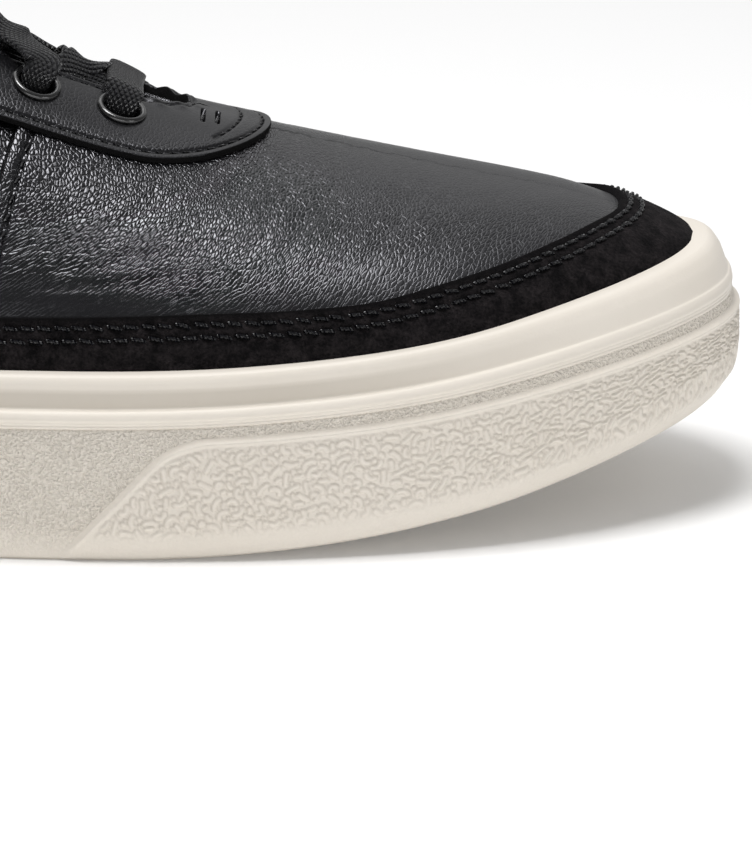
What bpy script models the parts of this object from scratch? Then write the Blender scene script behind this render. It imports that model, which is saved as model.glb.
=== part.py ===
# Low leather sneaker for the right foot. The toe points to +X, the outer side faces -Y.
# Metres, +Z up, standing on the floor at z = 0.
import math

import bmesh
import bpy
import numpy as np
from mathutils import Matrix, Vector

# Driving sizes
SHOE_LENGTH = 0.292
HALF_LENGTH = SHOE_LENGTH / 2
TOE_SPRING = 0.0172
HEEL_BEVEL = 0.0030
GAP = 0.0003
UPPER_WALL = 0.0020
COLLAR_PAD = 0.0060
VAMP_STEP = 0.0010
OVERLAY = 0.0012
UPPER_INSET_SIDE = 0.0065
UPPER_INSET_TOE = 0.0094
LIP_CLEAR = 0.0006
CUP_FLOOR = 0.0150
CUP_FLOOR_HEEL = 0.0200
INSOLE_THICK = 0.0040

# Places along the foot
PLAN_FULLNESS = 2.4
TOE_ROUND_START = 0.045
HEEL_ROUND_START = -0.100
SPRING_START = 0.033
BEVEL_START = -0.112
TOE_DOME_START = 0.112
HEEL_DOME_START = -0.112
THROAT_FRONT = 0.047
THROAT_ROUND = 0.010
SEAM_TOP = 0.0214
SEAM_LEAN = 0.0158
SEAM_FROM = 0.30
COLLAR_REAR = -0.1341
COLLAR_CORNER = -0.050
SUEDE_TIP = 0.1238
SUEDE_HEEL = -0.1392
EYESTAY_FRONT = 0.0620
EYESTAY_ROUND = 0.0380
EYESTAY_REAR = -0.0490
TONGUE_TOP = -0.066
TONGUE_FRONT = 0.066
BUMPER_REAR = 0.025
BUMPER_SLANT = 0.97
BUMPER_RISE = 0.0007

# Eyelets and lace
EYELET_ROWS = 6
EYELET_FIRST = 0.0356
EYELET_PITCH = 0.0150
EYELET_MARGIN = 0.0063
EYELET_OUTER = 0.0045
EYELET_BARREL = 0.0029
EYELET_BORE = 0.0025
EYELET_RISE = 0.0010
LACE_WIDTH = 0.0066
LACE_THICK = 0.0016
LACE_STOP = 0.72
LACE_CLEAR = 0.0007
LACE_LOW = -0.0014
LACE_LOW_WIDTH = 0.0040
LACE_LOW_STOP = 0.63

# How finely the forms are divided
SECTIONS = 38
SOLE_SECTIONS = 35
UPPER_ROWS = 7
SUEDE_ROWS = 6
EYESTAY_ROWS = 4
TONGUE_SECTIONS = 11
TONGUE_ROWS = 7
EYELET_STEPS = 8
HOLE_STEPS = 8


def table(columns, *rows):
    return {name: np.array(values) for name, values in zip(columns, zip(*rows))}


# Plan of the sole: half width before the ends are rounded, and sideways bend of the middle line
SOLE_PLAN = table(
    ("station", "half_width", "bend"),
    (-0.146, 0.0315, 0.0000),
    (-0.125, 0.0365, 0.0000),
    (-0.100, 0.0385, -0.0002),
    (-0.060, 0.0393, -0.0027),
    (-0.020, 0.0420, -0.0055),
    (0.013, 0.0470, -0.0045),
    (0.035, 0.0512, -0.0018),
    (0.055, 0.0529, 0.0002),
    (0.075, 0.0530, 0.0016),
    (0.092, 0.0525, 0.0025),
    (0.108, 0.0515, 0.0033),
    (0.126, 0.0475, 0.0030),
    (0.146, 0.0420, 0.0022),
)
# Top edge of the cup above the floor
LIP = table(
    ("station", "height"),
    (-0.146, 0.0375),
    (-0.100, 0.0355),
    (-0.040, 0.0338),
    (0.016, 0.0332),
    (0.060, 0.0340),
    (0.092, 0.0366),
    (0.113, 0.0398),
    (0.127, 0.0421),
    (0.146, 0.0454),
)
# Sections of the last: ridge height, its shift to the inner side, wall angle, wall and crown fullness
LAST = table(
    ("station", "ridge", "shift", "wall_angle", "wall_full", "crown_full"),
    (-0.140, 0.1160, 0.0000, 88, 0.55, 0.50),
    (-0.100, 0.1210, 0.0005, 88, 0.55, 0.50),
    (-0.070, 0.1205, 0.0022, 86, 0.55, 0.46),
    (-0.045, 0.1100, 0.0042, 84, 0.52, 0.42),
    (-0.020, 0.0975, 0.0055, 82, 0.50, 0.38),
    (0.010, 0.0822, 0.0050, 80, 0.50, 0.36),
    (0.036, 0.0716, 0.0030, 78, 0.50, 0.38),
    (0.050, 0.0674, 0.0020, 76, 0.50, 0.42),
    (0.064, 0.0640, 0.0012, 74, 0.50, 0.46),
    (0.085, 0.0592, 0.0004, 72, 0.50, 0.50),
    (0.118, 0.0525, 0.0000, 68, 0.50, 0.55),
    (0.140, 0.0486, 0.0000, 62, 0.50, 0.60),
)
# Height of the collar edge, half width of the throat, upper edge of the suede and lower edge of the eyestay
COLLAR = table(
    ("station", "height"),
    (-0.140, 0.0850),
    (-0.125, 0.0830),
    (-0.105, 0.0715),
    (-0.085, 0.0670),
    (-0.068, 0.0740),
    (-0.055, 0.0890),
    (-0.045, 0.1080),
    (-0.030, 0.1500),
)
THROAT = table(
    ("station", "half_gap"),
    (-0.060, 0.0100),
    (0.000, 0.0062),
    (0.047, 0.0045),
)
SUEDE = table(
    ("station", "outer", "inner"),
    (-0.146, 0.0500, 0.0500),
    (-0.100, 0.0450, 0.0450),
    (-0.040, 0.0424, 0.0424),
    (0.016, 0.0417, 0.0417),
    (0.051, 0.0422, 0.0422),
    (0.070, 0.0425, 0.0425),
    (0.080, 0.0431, 0.0431),
    (0.091, 0.0449, 0.0445),
    (0.102, 0.0469, 0.0460),
    (0.112, 0.0489, 0.0473),
    (0.1185, 0.0500, 0.0484),
    (0.124, 0.0503, 0.0503),
    (0.146, 0.0503, 0.0503),
)
EYESTAY = table(
    ("station", "outer", "inner"),
    (-0.060, 0.0250, 0.0200),
    (-0.010, 0.0212, 0.0190),
    (0.015, 0.0206, 0.0198),
    (0.036, 0.0218, 0.0216),
    (0.062, 0.0218, 0.0218),
)
TONGUE = table(
    ("station", "reach", "thick", "sink"),
    (-0.066, 0.0235, 0.0060, 0.0012),
    (-0.045, 0.0240, 0.0060, 0.0018),
    (0.000, 0.0225, 0.0050, 0.0018),
    (0.040, 0.0180, 0.0030, 0.0014),
    (0.066, 0.0150, 0.0022, 0.0006),
)
# Side of the sole from the lip down: each row is measured from the lip (1) or from the floor (0)
SOLE_SIDE = table(
    ("from_lip", "height", "inset", "toe_inset", "toe_height", "raised"),
    (0, 0.0000, 0.0020, 0.0030, 0.0000, 0.0),
    (0, 0.0010, 0.0013, 0.0017, 0.0006, 0.2),
    (0, 0.0030, 0.0010, 0.0004, 0.0018, 0.7),
    (0, 0.0065, 0.0009, 0.0000, 0.0030, 1.0),
    (1, -0.0121, 0.0010, 0.0002, 0.0000, 1.0),
    (1, -0.0116, 0.0010, 0.0004, 0.0000, 0.0),
    (1, -0.0091, 0.0012, 0.0006, 0.0000, 0.0),
    (1, -0.0084, 0.0006, 0.0006, 0.0000, 0.0),
    (1, -0.0068, 0.0006, 0.0008, 0.0000, 0.0),
    (1, -0.0060, 0.0010, 0.0010, 0.0000, 0.0),
    (1, -0.0056, 0.0019, 0.0012, 0.0000, 0.0),
    (1, -0.0017, 0.0020, 0.0016, 0.0000, 0.0),
    (1, -0.0009, 0.0026, 0.0018, 0.0000, 0.0),
    (1, -0.0006, 0.0038, 0.0020, 0.0000, 0.0),
)


def curve(rows, column, x):
    # smooth line through the rows of a table
    stations = rows["station"]
    values = rows[column]
    slopes = np.gradient(values, stations)
    i = np.clip(np.searchsorted(stations, x) - 1, 0, len(stations) - 2)
    span = stations[i + 1] - stations[i]
    t = np.clip((x - stations[i]) / span, 0.0, 1.0)
    start = (1 + 2 * t) * (1 - t) ** 2 * values[i] + t * (1 - t) ** 2 * span * slopes[i]
    end = t * t * (3 - 2 * t) * values[i + 1] - t * t * (1 - t) * span * slopes[i + 1]
    return start + end


def ease(x, start, end):
    t = np.clip((x - start) / (end - start), 0.0, 1.0)
    return t * t * (3 - 2 * t)


def round_end(x, start, end, power=2.0):
    # quarter of an ellipse, or of a fuller oval for a higher power: 1 up to start, 0 at end
    u = np.clip((x - start) / (end - start), 0.0, 1.0)
    return (1 - u ** power) ** (1 / power)


def plan(turn):
    # plan of the sole at an angle from the heel (-90 degrees) to the toe (+90 degrees)
    x = HALF_LENGTH * np.sin(turn)
    toe = round_end(x, TOE_ROUND_START, HALF_LENGTH, PLAN_FULLNESS)
    ends = toe * round_end(x, HEEL_ROUND_START, -HALF_LENGTH, PLAN_FULLNESS)
    return x, curve(SOLE_PLAN, "half_width", x) * ends


def inset_plan(turn, inset):
    # plan drawn in by a distance square to its edge: x, middle line and half width
    x, width = plan(turn)
    limit = math.radians(89.9)
    near = np.clip(turn, -limit, limit)
    x0, w0 = plan(near - 1e-4)
    x1, w1 = plan(near + 1e-4)
    size = np.hypot(x1 - x0, w1 - w0)
    x_in = x + inset * (w1 - w0) / size
    width_in = np.where(np.abs(turn) > limit, 0.0, width - inset * (x1 - x0) / size)
    return x_in, curve(SOLE_PLAN, "bend", x_in), np.maximum(width_in, 0.0)


def ground(x):
    # underside: flat, rising at the toe and a little at the back of the heel
    toe = np.clip((x - SPRING_START) / (HALF_LENGTH - SPRING_START), 0.0, 1.0)
    heel = np.clip((BEVEL_START - x) / (BEVEL_START + HALF_LENGTH), 0.0, 1.0)
    return TOE_SPRING * toe ** 2 + HEEL_BEVEL * heel ** 2


def upper_inset(turn):
    x = HALF_LENGTH * np.sin(turn)
    return UPPER_INSET_SIDE + (UPPER_INSET_TOE - UPPER_INSET_SIDE) * ease(x, 0.085, 0.140)


def last(turn, across, grow=0.0):
    # skin of the last: across runs from -1 (outer lip) over 0 (ridge) to 1 (inner lip)
    # grow makes the last wider and higher by that much
    turn, across = np.broadcast_arrays(turn, across)
    x, middle, width = inset_plan(turn, upper_inset(turn) - grow)
    side = np.where(across < 0, -1.0, 1.0)
    t = np.abs(across)
    toe_end = HALF_LENGTH - UPPER_INSET_TOE + grow
    heel_end = UPPER_INSET_SIDE - HALF_LENGTH - grow
    ends = round_end(x, TOE_DOME_START, toe_end) * round_end(x, HEEL_DOME_START, heel_end)
    shift = curve(LAST, "shift", x) * ends
    reach = width - side * shift
    lip = curve(LIP, "height", x)
    rise = (curve(LAST, "ridge", x) + grow - lip) * ends
    full = curve(LAST, "wall_full", x) * rise
    lean = full / np.tan(np.radians(curve(LAST, "wall_angle", x)))
    near_ridge = 3 * (1 - t) ** 2 * t
    near_lip = 3 * (1 - t) * t ** 2
    y = near_ridge * curve(LAST, "crown_full", x) * reach + near_lip * (reach - lean) + t ** 3 * reach
    z = rise * ((1 - t) ** 3 + near_ridge) + near_lip * full
    return np.stack([x, middle + shift + side * y, lip + z], axis=-1)


def skin(turn, across, lift=0.0):
    # skin of the last raised along its normal
    turn, across = np.broadcast_arrays(turn, across)
    points = last(turn, across)
    limit = math.radians(89.5)
    near = np.clip(turn, -limit, limit)
    step = 1e-4
    along = last(near + step, across) - last(near - step, across)
    over = last(near, across + step) - last(near, across - step)
    normal = np.cross(along, over)
    normal /= np.linalg.norm(normal, axis=-1, keepdims=True)
    ahead = np.stack([np.sign(turn), 0 * turn, 0 * turn], axis=-1)
    normal = np.where(np.expand_dims(np.abs(turn) > limit, -1), ahead, normal)
    return points + normal * np.expand_dims(np.broadcast_to(lift, turn.shape), -1)


def turn_at(x):
    # angle of the section whose skin lies at x
    turns = np.radians(np.linspace(-90, 90, 3601))
    return np.interp(x, inset_plan(turns, upper_inset(turns))[0], turns)


def across_at(turn, side, wanted, measure):
    # place on one half of each section where its height or its reach from the ridge has a given size
    low = np.zeros_like(turn)
    high = np.ones_like(turn)
    ridge = last(turn, 0.0)[..., 1]
    for _ in range(40):
        middle = (low + high) / 2
        point = last(turn, side * middle)
        inside = point[..., 2] > wanted if measure == "height" else np.abs(point[..., 1] - ridge) < wanted
        low = np.where(inside, middle, low)
        high = np.where(inside, high, middle)
    return np.where(high < 1e-6, 0.0, high)


def skin_x(turn):
    return inset_plan(turn, upper_inset(turn))[0]


def opening_edge(turn, side):
    # edge of the throat and the collar, 0 where the upper is closed over the ridge
    x = skin_x(turn)
    gap = curve(THROAT, "half_gap", x) * round_end(x, THROAT_FRONT - THROAT_ROUND, THROAT_FRONT)
    throat = across_at(turn, side, gap * ease(x, -0.100, -0.080), "reach")
    collar = across_at(turn, side, curve(COLLAR, "height", x), "height")
    return (throat ** 6 + collar ** 6) ** (1 / 6)


def suede_edge(turn, side):
    height = curve(SUEDE, "outer" if side < 0 else "inner", skin_x(turn))
    return across_at(turn, side, height, "height")


def eyestay_edge(turn, side):
    x = skin_x(turn)
    reach = curve(EYESTAY, "outer" if side < 0 else "inner", x)
    reach = reach * round_end(x, EYESTAY_ROUND, EYESTAY_FRONT)
    return across_at(turn, side, reach, "reach")


def floor_height(x):
    # inside floor of the cup
    heel = 1 - ease(x, -0.060, 0.030)
    return ground(x) + CUP_FLOOR + (CUP_FLOOR_HEEL - CUP_FLOOR) * heel


def wall_ring(turn, side, lift, z):
    # points straight under the lip line, moved out square to it
    x, middle, width = inset_plan(turn, upper_inset(turn) - lift)
    return np.stack([x, middle + side * width, np.broadcast_to(z, x.shape)], axis=-1)


def seam_shift(x, across):
    # the sections lean back around the seam between vamp and quarter
    lean = SEAM_LEAN * np.clip(np.abs(across) - SEAM_FROM, 0.0, 1.0)
    return -lean * np.exp(-(((x - SEAM_TOP) / 0.045) ** 2))


def quarter_drop(x, across):
    # the quarter lies under the vamp, so its face is lower behind the seam
    t = np.abs(across)
    zone = ease(t, 0.30, 0.40) * (1 - ease(t, 0.80, 0.90)) * (1 - ease(-x, 0.020, 0.080))
    return VAMP_STEP * zone * (x < SEAM_TOP)


def clean_mesh(name, points, faces, material, smooth_angle=40):
    # one closed body from lofted points
    mesh = bpy.data.meshes.new(name)
    mesh.from_pydata(points, [], faces)
    shape = bmesh.new()
    shape.from_mesh(mesh)
    bmesh.ops.remove_doubles(shape, verts=shape.verts, dist=2e-6)
    bmesh.ops.dissolve_degenerate(shape, edges=shape.edges, dist=2e-6)
    bmesh.ops.triangulate(shape, faces=shape.faces)
    bmesh.ops.recalc_face_normals(shape, faces=shape.faces)
    shape.to_mesh(mesh)
    shape.free()
    node = bpy.data.objects.new(name, mesh)
    SHOE.objects.link(node)
    mesh.materials.append(material)
    mesh.shade_smooth()
    mesh.set_sharp_from_angle(angle=math.radians(smooth_angle))
    return node


def loop_faces(first, stations, count, skip=(), wrap=True):
    # quads between neighbouring rings of points; skip names (station, place) pairs left open
    faces = []
    for i in range(stations - 1):
        for j in range(count if wrap else count - 1):
            if (i, j) in skip:
                continue
            k = (j + 1) % count
            a = first + i * count
            b = a + count
            faces.append((a + j, a + k, b + k, b + j))
    return faces


def cap_faces(first, ring, rows, count):
    # closes one end of a layer between its outer and inner rows
    a = first + ring * count
    return [(a + j, a + j + 1, a + count - 2 - j, a + count - 1 - j) for j in range(rows - 1)]


def layer(name, halves, material, caps=()):
    # a layer of the upper: each half gives outer rows, inner rows and where its last row is open
    points = []
    faces = []
    for outer, inner, is_open in halves:
        stations, rows = outer.shape[:2]
        first = len(points)
        count = 2 * rows
        rings = np.concatenate([outer, inner[:, ::-1]], axis=1)
        points.extend(map(tuple, rings.reshape(-1, 3)))
        shut = {(i, rows - 1) for i in range(stations - 1) if not (is_open[i] or is_open[i + 1])}
        faces += loop_faces(first, stations, count, skip=shut)
        for ring in caps:
            faces += cap_faces(first, ring % stations, rows, count)
    return clean_mesh(name, points, faces, material)


def section_stations(places):
    # even sections, left out where a place of its own lies close by
    even = skin_x(np.radians(np.linspace(-90, 90, SECTIONS)))
    apart = np.abs(even[:, None] - np.array(places)[None]).min(axis=1)
    keep = even[(apart > 0.0022) | (even < COLLAR_REAR - 0.0025)]
    return np.array(sorted([*keep, *places]))


def build_upper(material):
    places = [SEAM_TOP - 0.0003, SEAM_TOP + 0.0003, COLLAR_CORNER]
    places += [THROAT_FRONT - step for step in (0.0, 0.0004, 0.0016, 0.0036, 0.0064, 0.0100)]
    places += [COLLAR_REAR + step for step in (0.0, 0.0006, 0.0022, 0.0050)]
    x = section_stations(places)
    halves = []
    for side in (-1, 1):
        turn = turn_at(x)
        edge = opening_edge(turn, side)
        rows = np.linspace(1.0, 0.0, UPPER_ROWS)[None, :]
        across = edge[:, None] + (1 - edge[:, None]) * rows
        moved = x[:, None] + seam_shift(x[:, None], across)
        turns = turn_at(moved)
        turns[0] = -math.pi / 2
        turns[-1] = math.pi / 2
        outer = skin(turns, side * across, -quarter_drop(x[:, None], across))
        near_top = np.clip(1 - (across - edge[:, None]) / 0.30, 0.0, 1.0)
        pad = (COLLAR_PAD - UPPER_WALL) * near_top ** 0.6 * (1 - ease(x[:, None], -0.075, -0.050))
        pad = pad * (edge[:, None] > 0) * ease(x[:, None], COLLAR_REAR - 0.001, COLLAR_REAR + 0.004)
        inner = last(turns, side * across, -UPPER_WALL - pad)
        foot = turns[:, 0]
        low = floor_height(skin_x(foot)) + GAP
        outer = np.concatenate([wall_ring(foot, side, 0.0, low)[:, None], outer], axis=1)
        inner = np.concatenate([wall_ring(foot, side, -UPPER_WALL, low)[:, None], inner], axis=1)
        halves.append((outer, inner, edge > 0))
    return layer("upper", halves, material)


def build_mudguard(material):
    tip = SUEDE_TIP
    places = [SUEDE_HEEL] + [tip - step for step in (0.0, 0.0004, 0.0016, 0.0036, 0.0064, 0.0100)]
    x = section_stations(places)
    halves = []
    for side in (-1, 1):
        turn = turn_at(x)
        turn[0] = -math.pi / 2
        turn[-1] = math.pi / 2
        edge = suede_edge(turn, side) * (x < tip - 1e-6)
        rows = np.linspace(1.0, 0.0, SUEDE_ROWS)[None, :]
        across = edge[:, None] + (1 - edge[:, None]) * rows
        outer = last(turn[:, None], side * across, GAP + OVERLAY)
        inner = last(turn[:, None], side * across, GAP)
        halves.append((outer, inner, edge > 0))
    return layer("mudguard", halves, material)


def build_eyestay(material):
    even = np.linspace(EYESTAY_REAR, THROAT_FRONT - 0.0120, 9)
    round_steps = (0.0100, 0.0064, 0.0036, 0.0016, 0.0004, 0.0)
    throat = [THROAT_FRONT - step for step in round_steps]
    front = [EYESTAY_FRONT - step for step in (0.0120, 0.0095, 0.0064, 0.0036, 0.0016, 0.0004, 0.0)]
    x = np.array(list(even) + throat + front)
    halves = []
    for side in (-1, 1):
        turn = turn_at(x)
        inside = opening_edge(turn, side) * (x < THROAT_FRONT - 1e-6)
        outside = np.maximum(eyestay_edge(turn, side), inside)
        rows = np.linspace(0.0, 1.0, EYESTAY_ROWS)[None, :]
        across = outside[:, None] + (inside - outside)[:, None] * rows
        outer = skin(turn[:, None], side * across, GAP + OVERLAY)
        inner = skin(turn[:, None], side * across, GAP)
        halves.append((outer, inner, inside > 0))
    return layer("eyestay", halves, material, caps=(0,))


def build_tongue(material):
    front = TONGUE_FRONT
    x = np.linspace(TONGUE_TOP, front, TONGUE_SECTIONS)
    x = np.concatenate([[TONGUE_TOP + 0.0003, TONGUE_TOP + 0.0015, TONGUE_TOP + 0.0040], x[2:]])
    turn = turn_at(x)
    reach = curve(TONGUE, "reach", x) * round_end(x, TONGUE_TOP + 0.010, TONGUE_TOP)
    rows = np.linspace(-1.0, 1.0, TONGUE_ROWS)
    outside = across_at(turn, -1, reach, "reach")
    inside = across_at(turn, 1, reach, "reach")
    across = np.where(rows[None] < 0, outside[:, None], inside[:, None]) * rows[None]
    thick = curve(TONGUE, "thick", x)[:, None] * (1 - 0.45 * rows[None] ** 4)
    sink = UPPER_WALL + GAP + curve(TONGUE, "sink", x)[:, None]
    top = skin(turn[:, None], across, -sink)
    under = skin(turn[:, None], across, -sink - thick)
    rings = np.concatenate([top, under[:, ::-1]], axis=1)
    stations, count = rings.shape[:2]
    points = [tuple(p) for p in rings.reshape(-1, 3)]
    faces = loop_faces(0, stations, count)
    faces += cap_faces(0, 0, TONGUE_ROWS, count) + cap_faces(0, stations - 1, TONGUE_ROWS, count)
    return clean_mesh("tongue", points, faces, material)


def bumper(x, z):
    # raised panel at the toe with a slanted rear end
    start = BUMPER_REAR + BUMPER_SLANT * (z - ground(x))
    return BUMPER_RISE * ease(x, start - 0.0015, start + 0.0015)


def build_cupsole(material):
    turn = np.radians(np.linspace(-90, 90, SOLE_SECTIONS))
    sides = []
    for side in (-1, 1):
        rows = []
        for from_lip, height, inset, toe_inset, toe_height, raised in zip(*SOLE_SIDE.values()):
            x = HALF_LENGTH * np.sin(turn)
            toe = ease(x, 0.070, 0.146)
            z = from_lip * curve(LIP, "height", x) + (1 - from_lip) * ground(x) + height + toe_height * toe
            draw = inset + toe_inset * toe - raised * bumper(x, z)
            px, middle, width = inset_plan(turn, draw)
            rows.append(np.stack([px, middle + side * width, z], axis=-1))
        rows.append(wall_ring(turn, side, GAP, curve(LIP, "height", skin_x(turn)) - LIP_CLEAR))
        rows.append(wall_ring(turn, side, GAP, floor_height(skin_x(turn))))
        sides.append(np.stack(rows, axis=1))
    rings = np.concatenate([sides[0], sides[1][:, ::-1]], axis=1)
    stations, count = rings.shape[:2]
    points = [tuple(p) for p in rings.reshape(-1, 3)]
    return clean_mesh("cupsole", points, loop_faces(0, stations, count), material, smooth_angle=32)


def build_insole(material):
    turn = np.radians(np.linspace(-90, 90, SOLE_SECTIONS))
    inset = UPPER_WALL + 3 * GAP
    rows = []
    for side, inward, up in ((-1, 0.0, 0.0), (-1, 0.0, 0.85), (-1, 0.0010, 1.0),
                             (1, 0.0010, 1.0), (1, 0.0, 0.85), (1, 0.0, 0.0)):
        x = skin_x(turn)
        z = floor_height(x) + GAP + INSOLE_THICK * up
        rows.append(wall_ring(turn, side, -inset - inward, z))
    rings = np.stack(rows, axis=1)
    stations, count = rings.shape[:2]
    points = [tuple(p) for p in rings.reshape(-1, 3)]
    return clean_mesh("insole", points, loop_faces(0, stations, count), material)


def place_on_skin(x, side, reach, lift):
    # point on the upper and its outward normal
    turn = turn_at(np.array([x]))
    across = side * across_at(turn, side, np.array([reach]), "reach")
    foot = skin(turn, across, lift)[0]
    return foot, (skin(turn, across, lift + 0.001)[0] - foot) / 0.001


def eyelet_places():
    for row in range(EYELET_ROWS):
        x = EYELET_FIRST - EYELET_PITCH * row
        for side in (-1, 1):
            yield row, x, side, float(curve(THROAT, "half_gap", np.array(x))) + EYELET_MARGIN


def turned(name, profile, steps, centre, axis, collection, material):
    # ring or pin turned about an axis standing on the upper
    shape = bmesh.new()
    verts = [shape.verts.new((radius, 0.0, height)) for radius, height in profile]
    closed = profile[0][0] > 0
    pairs = zip(verts, verts[1:] + verts[:1]) if closed else zip(verts, verts[1:])
    edges = [shape.edges.new(pair) for pair in pairs]
    bmesh.ops.spin(shape, geom=verts + edges, cent=(0, 0, 0), axis=(0, 0, 1), angle=2 * math.pi,
                   steps=steps, use_merge=True)
    bmesh.ops.remove_doubles(shape, verts=shape.verts, dist=1e-6)
    bmesh.ops.recalc_face_normals(shape, faces=shape.faces)
    turn = Vector((0, 0, 1)).rotation_difference(Vector(axis)).to_matrix().to_4x4()
    bmesh.ops.transform(shape, matrix=Matrix.Translation(Vector(centre)) @ turn, verts=shape.verts)
    bmesh.ops.triangulate(shape, faces=shape.faces)
    mesh = bpy.data.meshes.new(name)
    shape.to_mesh(mesh)
    shape.free()
    node = bpy.data.objects.new(name, mesh)
    collection.objects.link(node)
    if material:
        mesh.materials.append(material)
        mesh.shade_smooth()
        mesh.set_sharp_from_angle(angle=math.radians(50))
    return node


def build_eyelets(material):
    top = GAP + OVERLAY
    barrel = -(top + GAP + UPPER_WALL)
    profile = [
        (EYELET_BORE, barrel), (EYELET_BARREL, barrel), (EYELET_BARREL, GAP), (EYELET_OUTER, GAP),
        (EYELET_OUTER - 0.0006, GAP + EYELET_RISE), (EYELET_BORE, GAP + 0.7 * EYELET_RISE),
    ]
    hole = EYELET_BARREL + GAP
    pin = [(0.0, -0.0080), (hole, -0.0080), (hole, 0.0080), (0.0, 0.0080)]
    pins = bpy.data.collections.new("cutters")
    bpy.context.scene.collection.children.link(pins)
    for row, x, side, reach in eyelet_places():
        centre, axis = place_on_skin(x, side, reach, top)
        where = "outer" if side < 0 else "inner"
        turned(f"eyelet_{where}_{row + 1}", profile, EYELET_STEPS, centre, axis, SHOE, material)
        cutter = turned(f"hole_{where}_{row + 1}", pin, HOLE_STEPS, centre, axis, pins, None)
        cutter.hide_render = True
        cutter.display_type = "WIRE"
    for node in (SHOE.objects["upper"], SHOE.objects["eyestay"]):
        cut = node.modifiers.new("eyelet_holes", "BOOLEAN")
        cut.operation = "DIFFERENCE"
        cut.solver = "EXACT"
        cut.operand_type = "COLLECTION"
        cut.collection = pins


def ribbon(name, path, ups, width, collection, material):
    # flat lace swept along a path, its face square to the given up directions
    path = np.asarray(path)
    ups = np.asarray(ups)
    along = np.gradient(path, axis=0)
    along /= np.linalg.norm(along, axis=1, keepdims=True)
    over = np.cross(along, ups)
    over /= np.linalg.norm(over, axis=1, keepdims=True)
    up = np.cross(over, along)
    half, thick = width / 2, LACE_THICK
    corners = ((-half, 0.5 * thick), (-0.8 * half, 0.0), (0.8 * half, 0.0),
               (half, 0.5 * thick), (0.8 * half, thick), (-0.8 * half, thick))
    rings = np.stack([path + over * a + up * b for a, b in corners], axis=1)
    stations, count = rings.shape[:2]
    points = [tuple(p) for p in rings.reshape(-1, 3)]
    faces = loop_faces(0, stations, count)
    faces += [tuple(range(count)), tuple(range((stations - 1) * count, stations * count))]
    node = clean_mesh(name, points, faces, material)
    if collection is not SHOE:
        SHOE.objects.unlink(node)
        collection.objects.link(node)
        node.hide_render = True
        node.display_type = "WIRE"
    return node


def lace_path(ends, lifts, count):
    # line over the upper between two places (x, signed reach), with a lift at start, middle and end
    t = np.linspace(0.0, 1.0, count)
    x = ends[0][0] + (ends[1][0] - ends[0][0]) * t
    reach = ends[0][1] + (ends[1][1] - ends[0][1]) * t
    turn = turn_at(x)
    side = np.where(reach < 0, -1.0, 1.0)
    across = side * across_at(turn, side, np.abs(reach), "reach")
    lift = lifts[0] * (1 - t) * (1 - 2 * t) + 4 * lifts[1] * t * (1 - t) + lifts[2] * t * (2 * t - 1)
    foot = skin(turn, across, 0.0)
    up = (skin(turn, across, 0.001) - foot) / 0.001
    return foot + up * lift[:, None], up


def build_laces(material, spare):
    high = 2 * GAP + OVERLAY + EYELET_RISE + LACE_CLEAR
    places = {(row, side): (x, side * reach) for row, x, side, reach in eyelet_places()}
    path, up = lace_path((places[0, -1], places[0, 1]), (high, high, high), 7)
    ribbon("lace_bar", path, up, LACE_WIDTH, SHOE, material)
    for row in range(EYELET_ROWS - 1):
        low = row == 0
        stop = LACE_LOW_STOP if low else LACE_STOP
        begin = 1 - stop if low else 0.0
        lift = LACE_LOW if low else high
        width = LACE_LOW_WIDTH if low else LACE_WIDTH
        strands = []
        for side in (-1, 1):
            near = np.array(places[row, side])
            far = np.array(places[row + 1, -side])
            ends = (near + (far - near) * begin, near + (far - near) * stop)
            strands.append(lace_path(ends, (lift, lift, lift), 5))
        name = f"lace_cross_{row + 1}"
        node = ribbon(name, *strands[0], width, SHOE, material)
        other = ribbon(name + "_second", *strands[1], width, spare, material)
        join = node.modifiers.new("joined_strand", "BOOLEAN")
        join.operation = "UNION"
        join.solver = "EXACT"
        join.object = other


def new_material(name, colour, roughness, metallic=0.0):
    material = bpy.data.materials.new(name)
    material.use_nodes = True
    shader = material.node_tree.nodes["Principled BSDF"]
    shader.inputs["Base Color"].default_value = (*colour, 1.0)
    shader.inputs["Roughness"].default_value = roughness
    shader.inputs["Metallic"].default_value = metallic
    material.diffuse_color = (*colour, 1.0)
    return material


def main():
    rubber = new_material("cream rubber", (0.72, 0.66, 0.56), 0.55)
    leather = new_material("black leather", (0.020, 0.020, 0.022), 0.45)
    suede = new_material("black suede", (0.010, 0.009, 0.009), 0.95)
    lining = new_material("black textile lining", (0.015, 0.015, 0.016), 0.90)
    metal = new_material("black enamelled metal", (0.020, 0.020, 0.022), 0.30, 0.8)
    cord = new_material("black woven lace", (0.018, 0.018, 0.020), 0.85)
    build_cupsole(rubber)
    build_insole(lining)
    build_upper(leather)
    build_tongue(leather)
    build_mudguard(suede)
    build_eyestay(leather)
    build_eyelets(metal)
    strands = bpy.data.collections.new("lace_cutters")
    bpy.context.scene.collection.children.link(strands)
    build_laces(cord, strands)


if __name__ == "__main__":
    for old in list(bpy.data.objects):
        bpy.data.objects.remove(old, do_unlink=True)
    SHOE = bpy.data.collections.new("leather_sneaker")
    bpy.context.scene.collection.children.link(SHOE)
    main()
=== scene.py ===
import math

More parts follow.
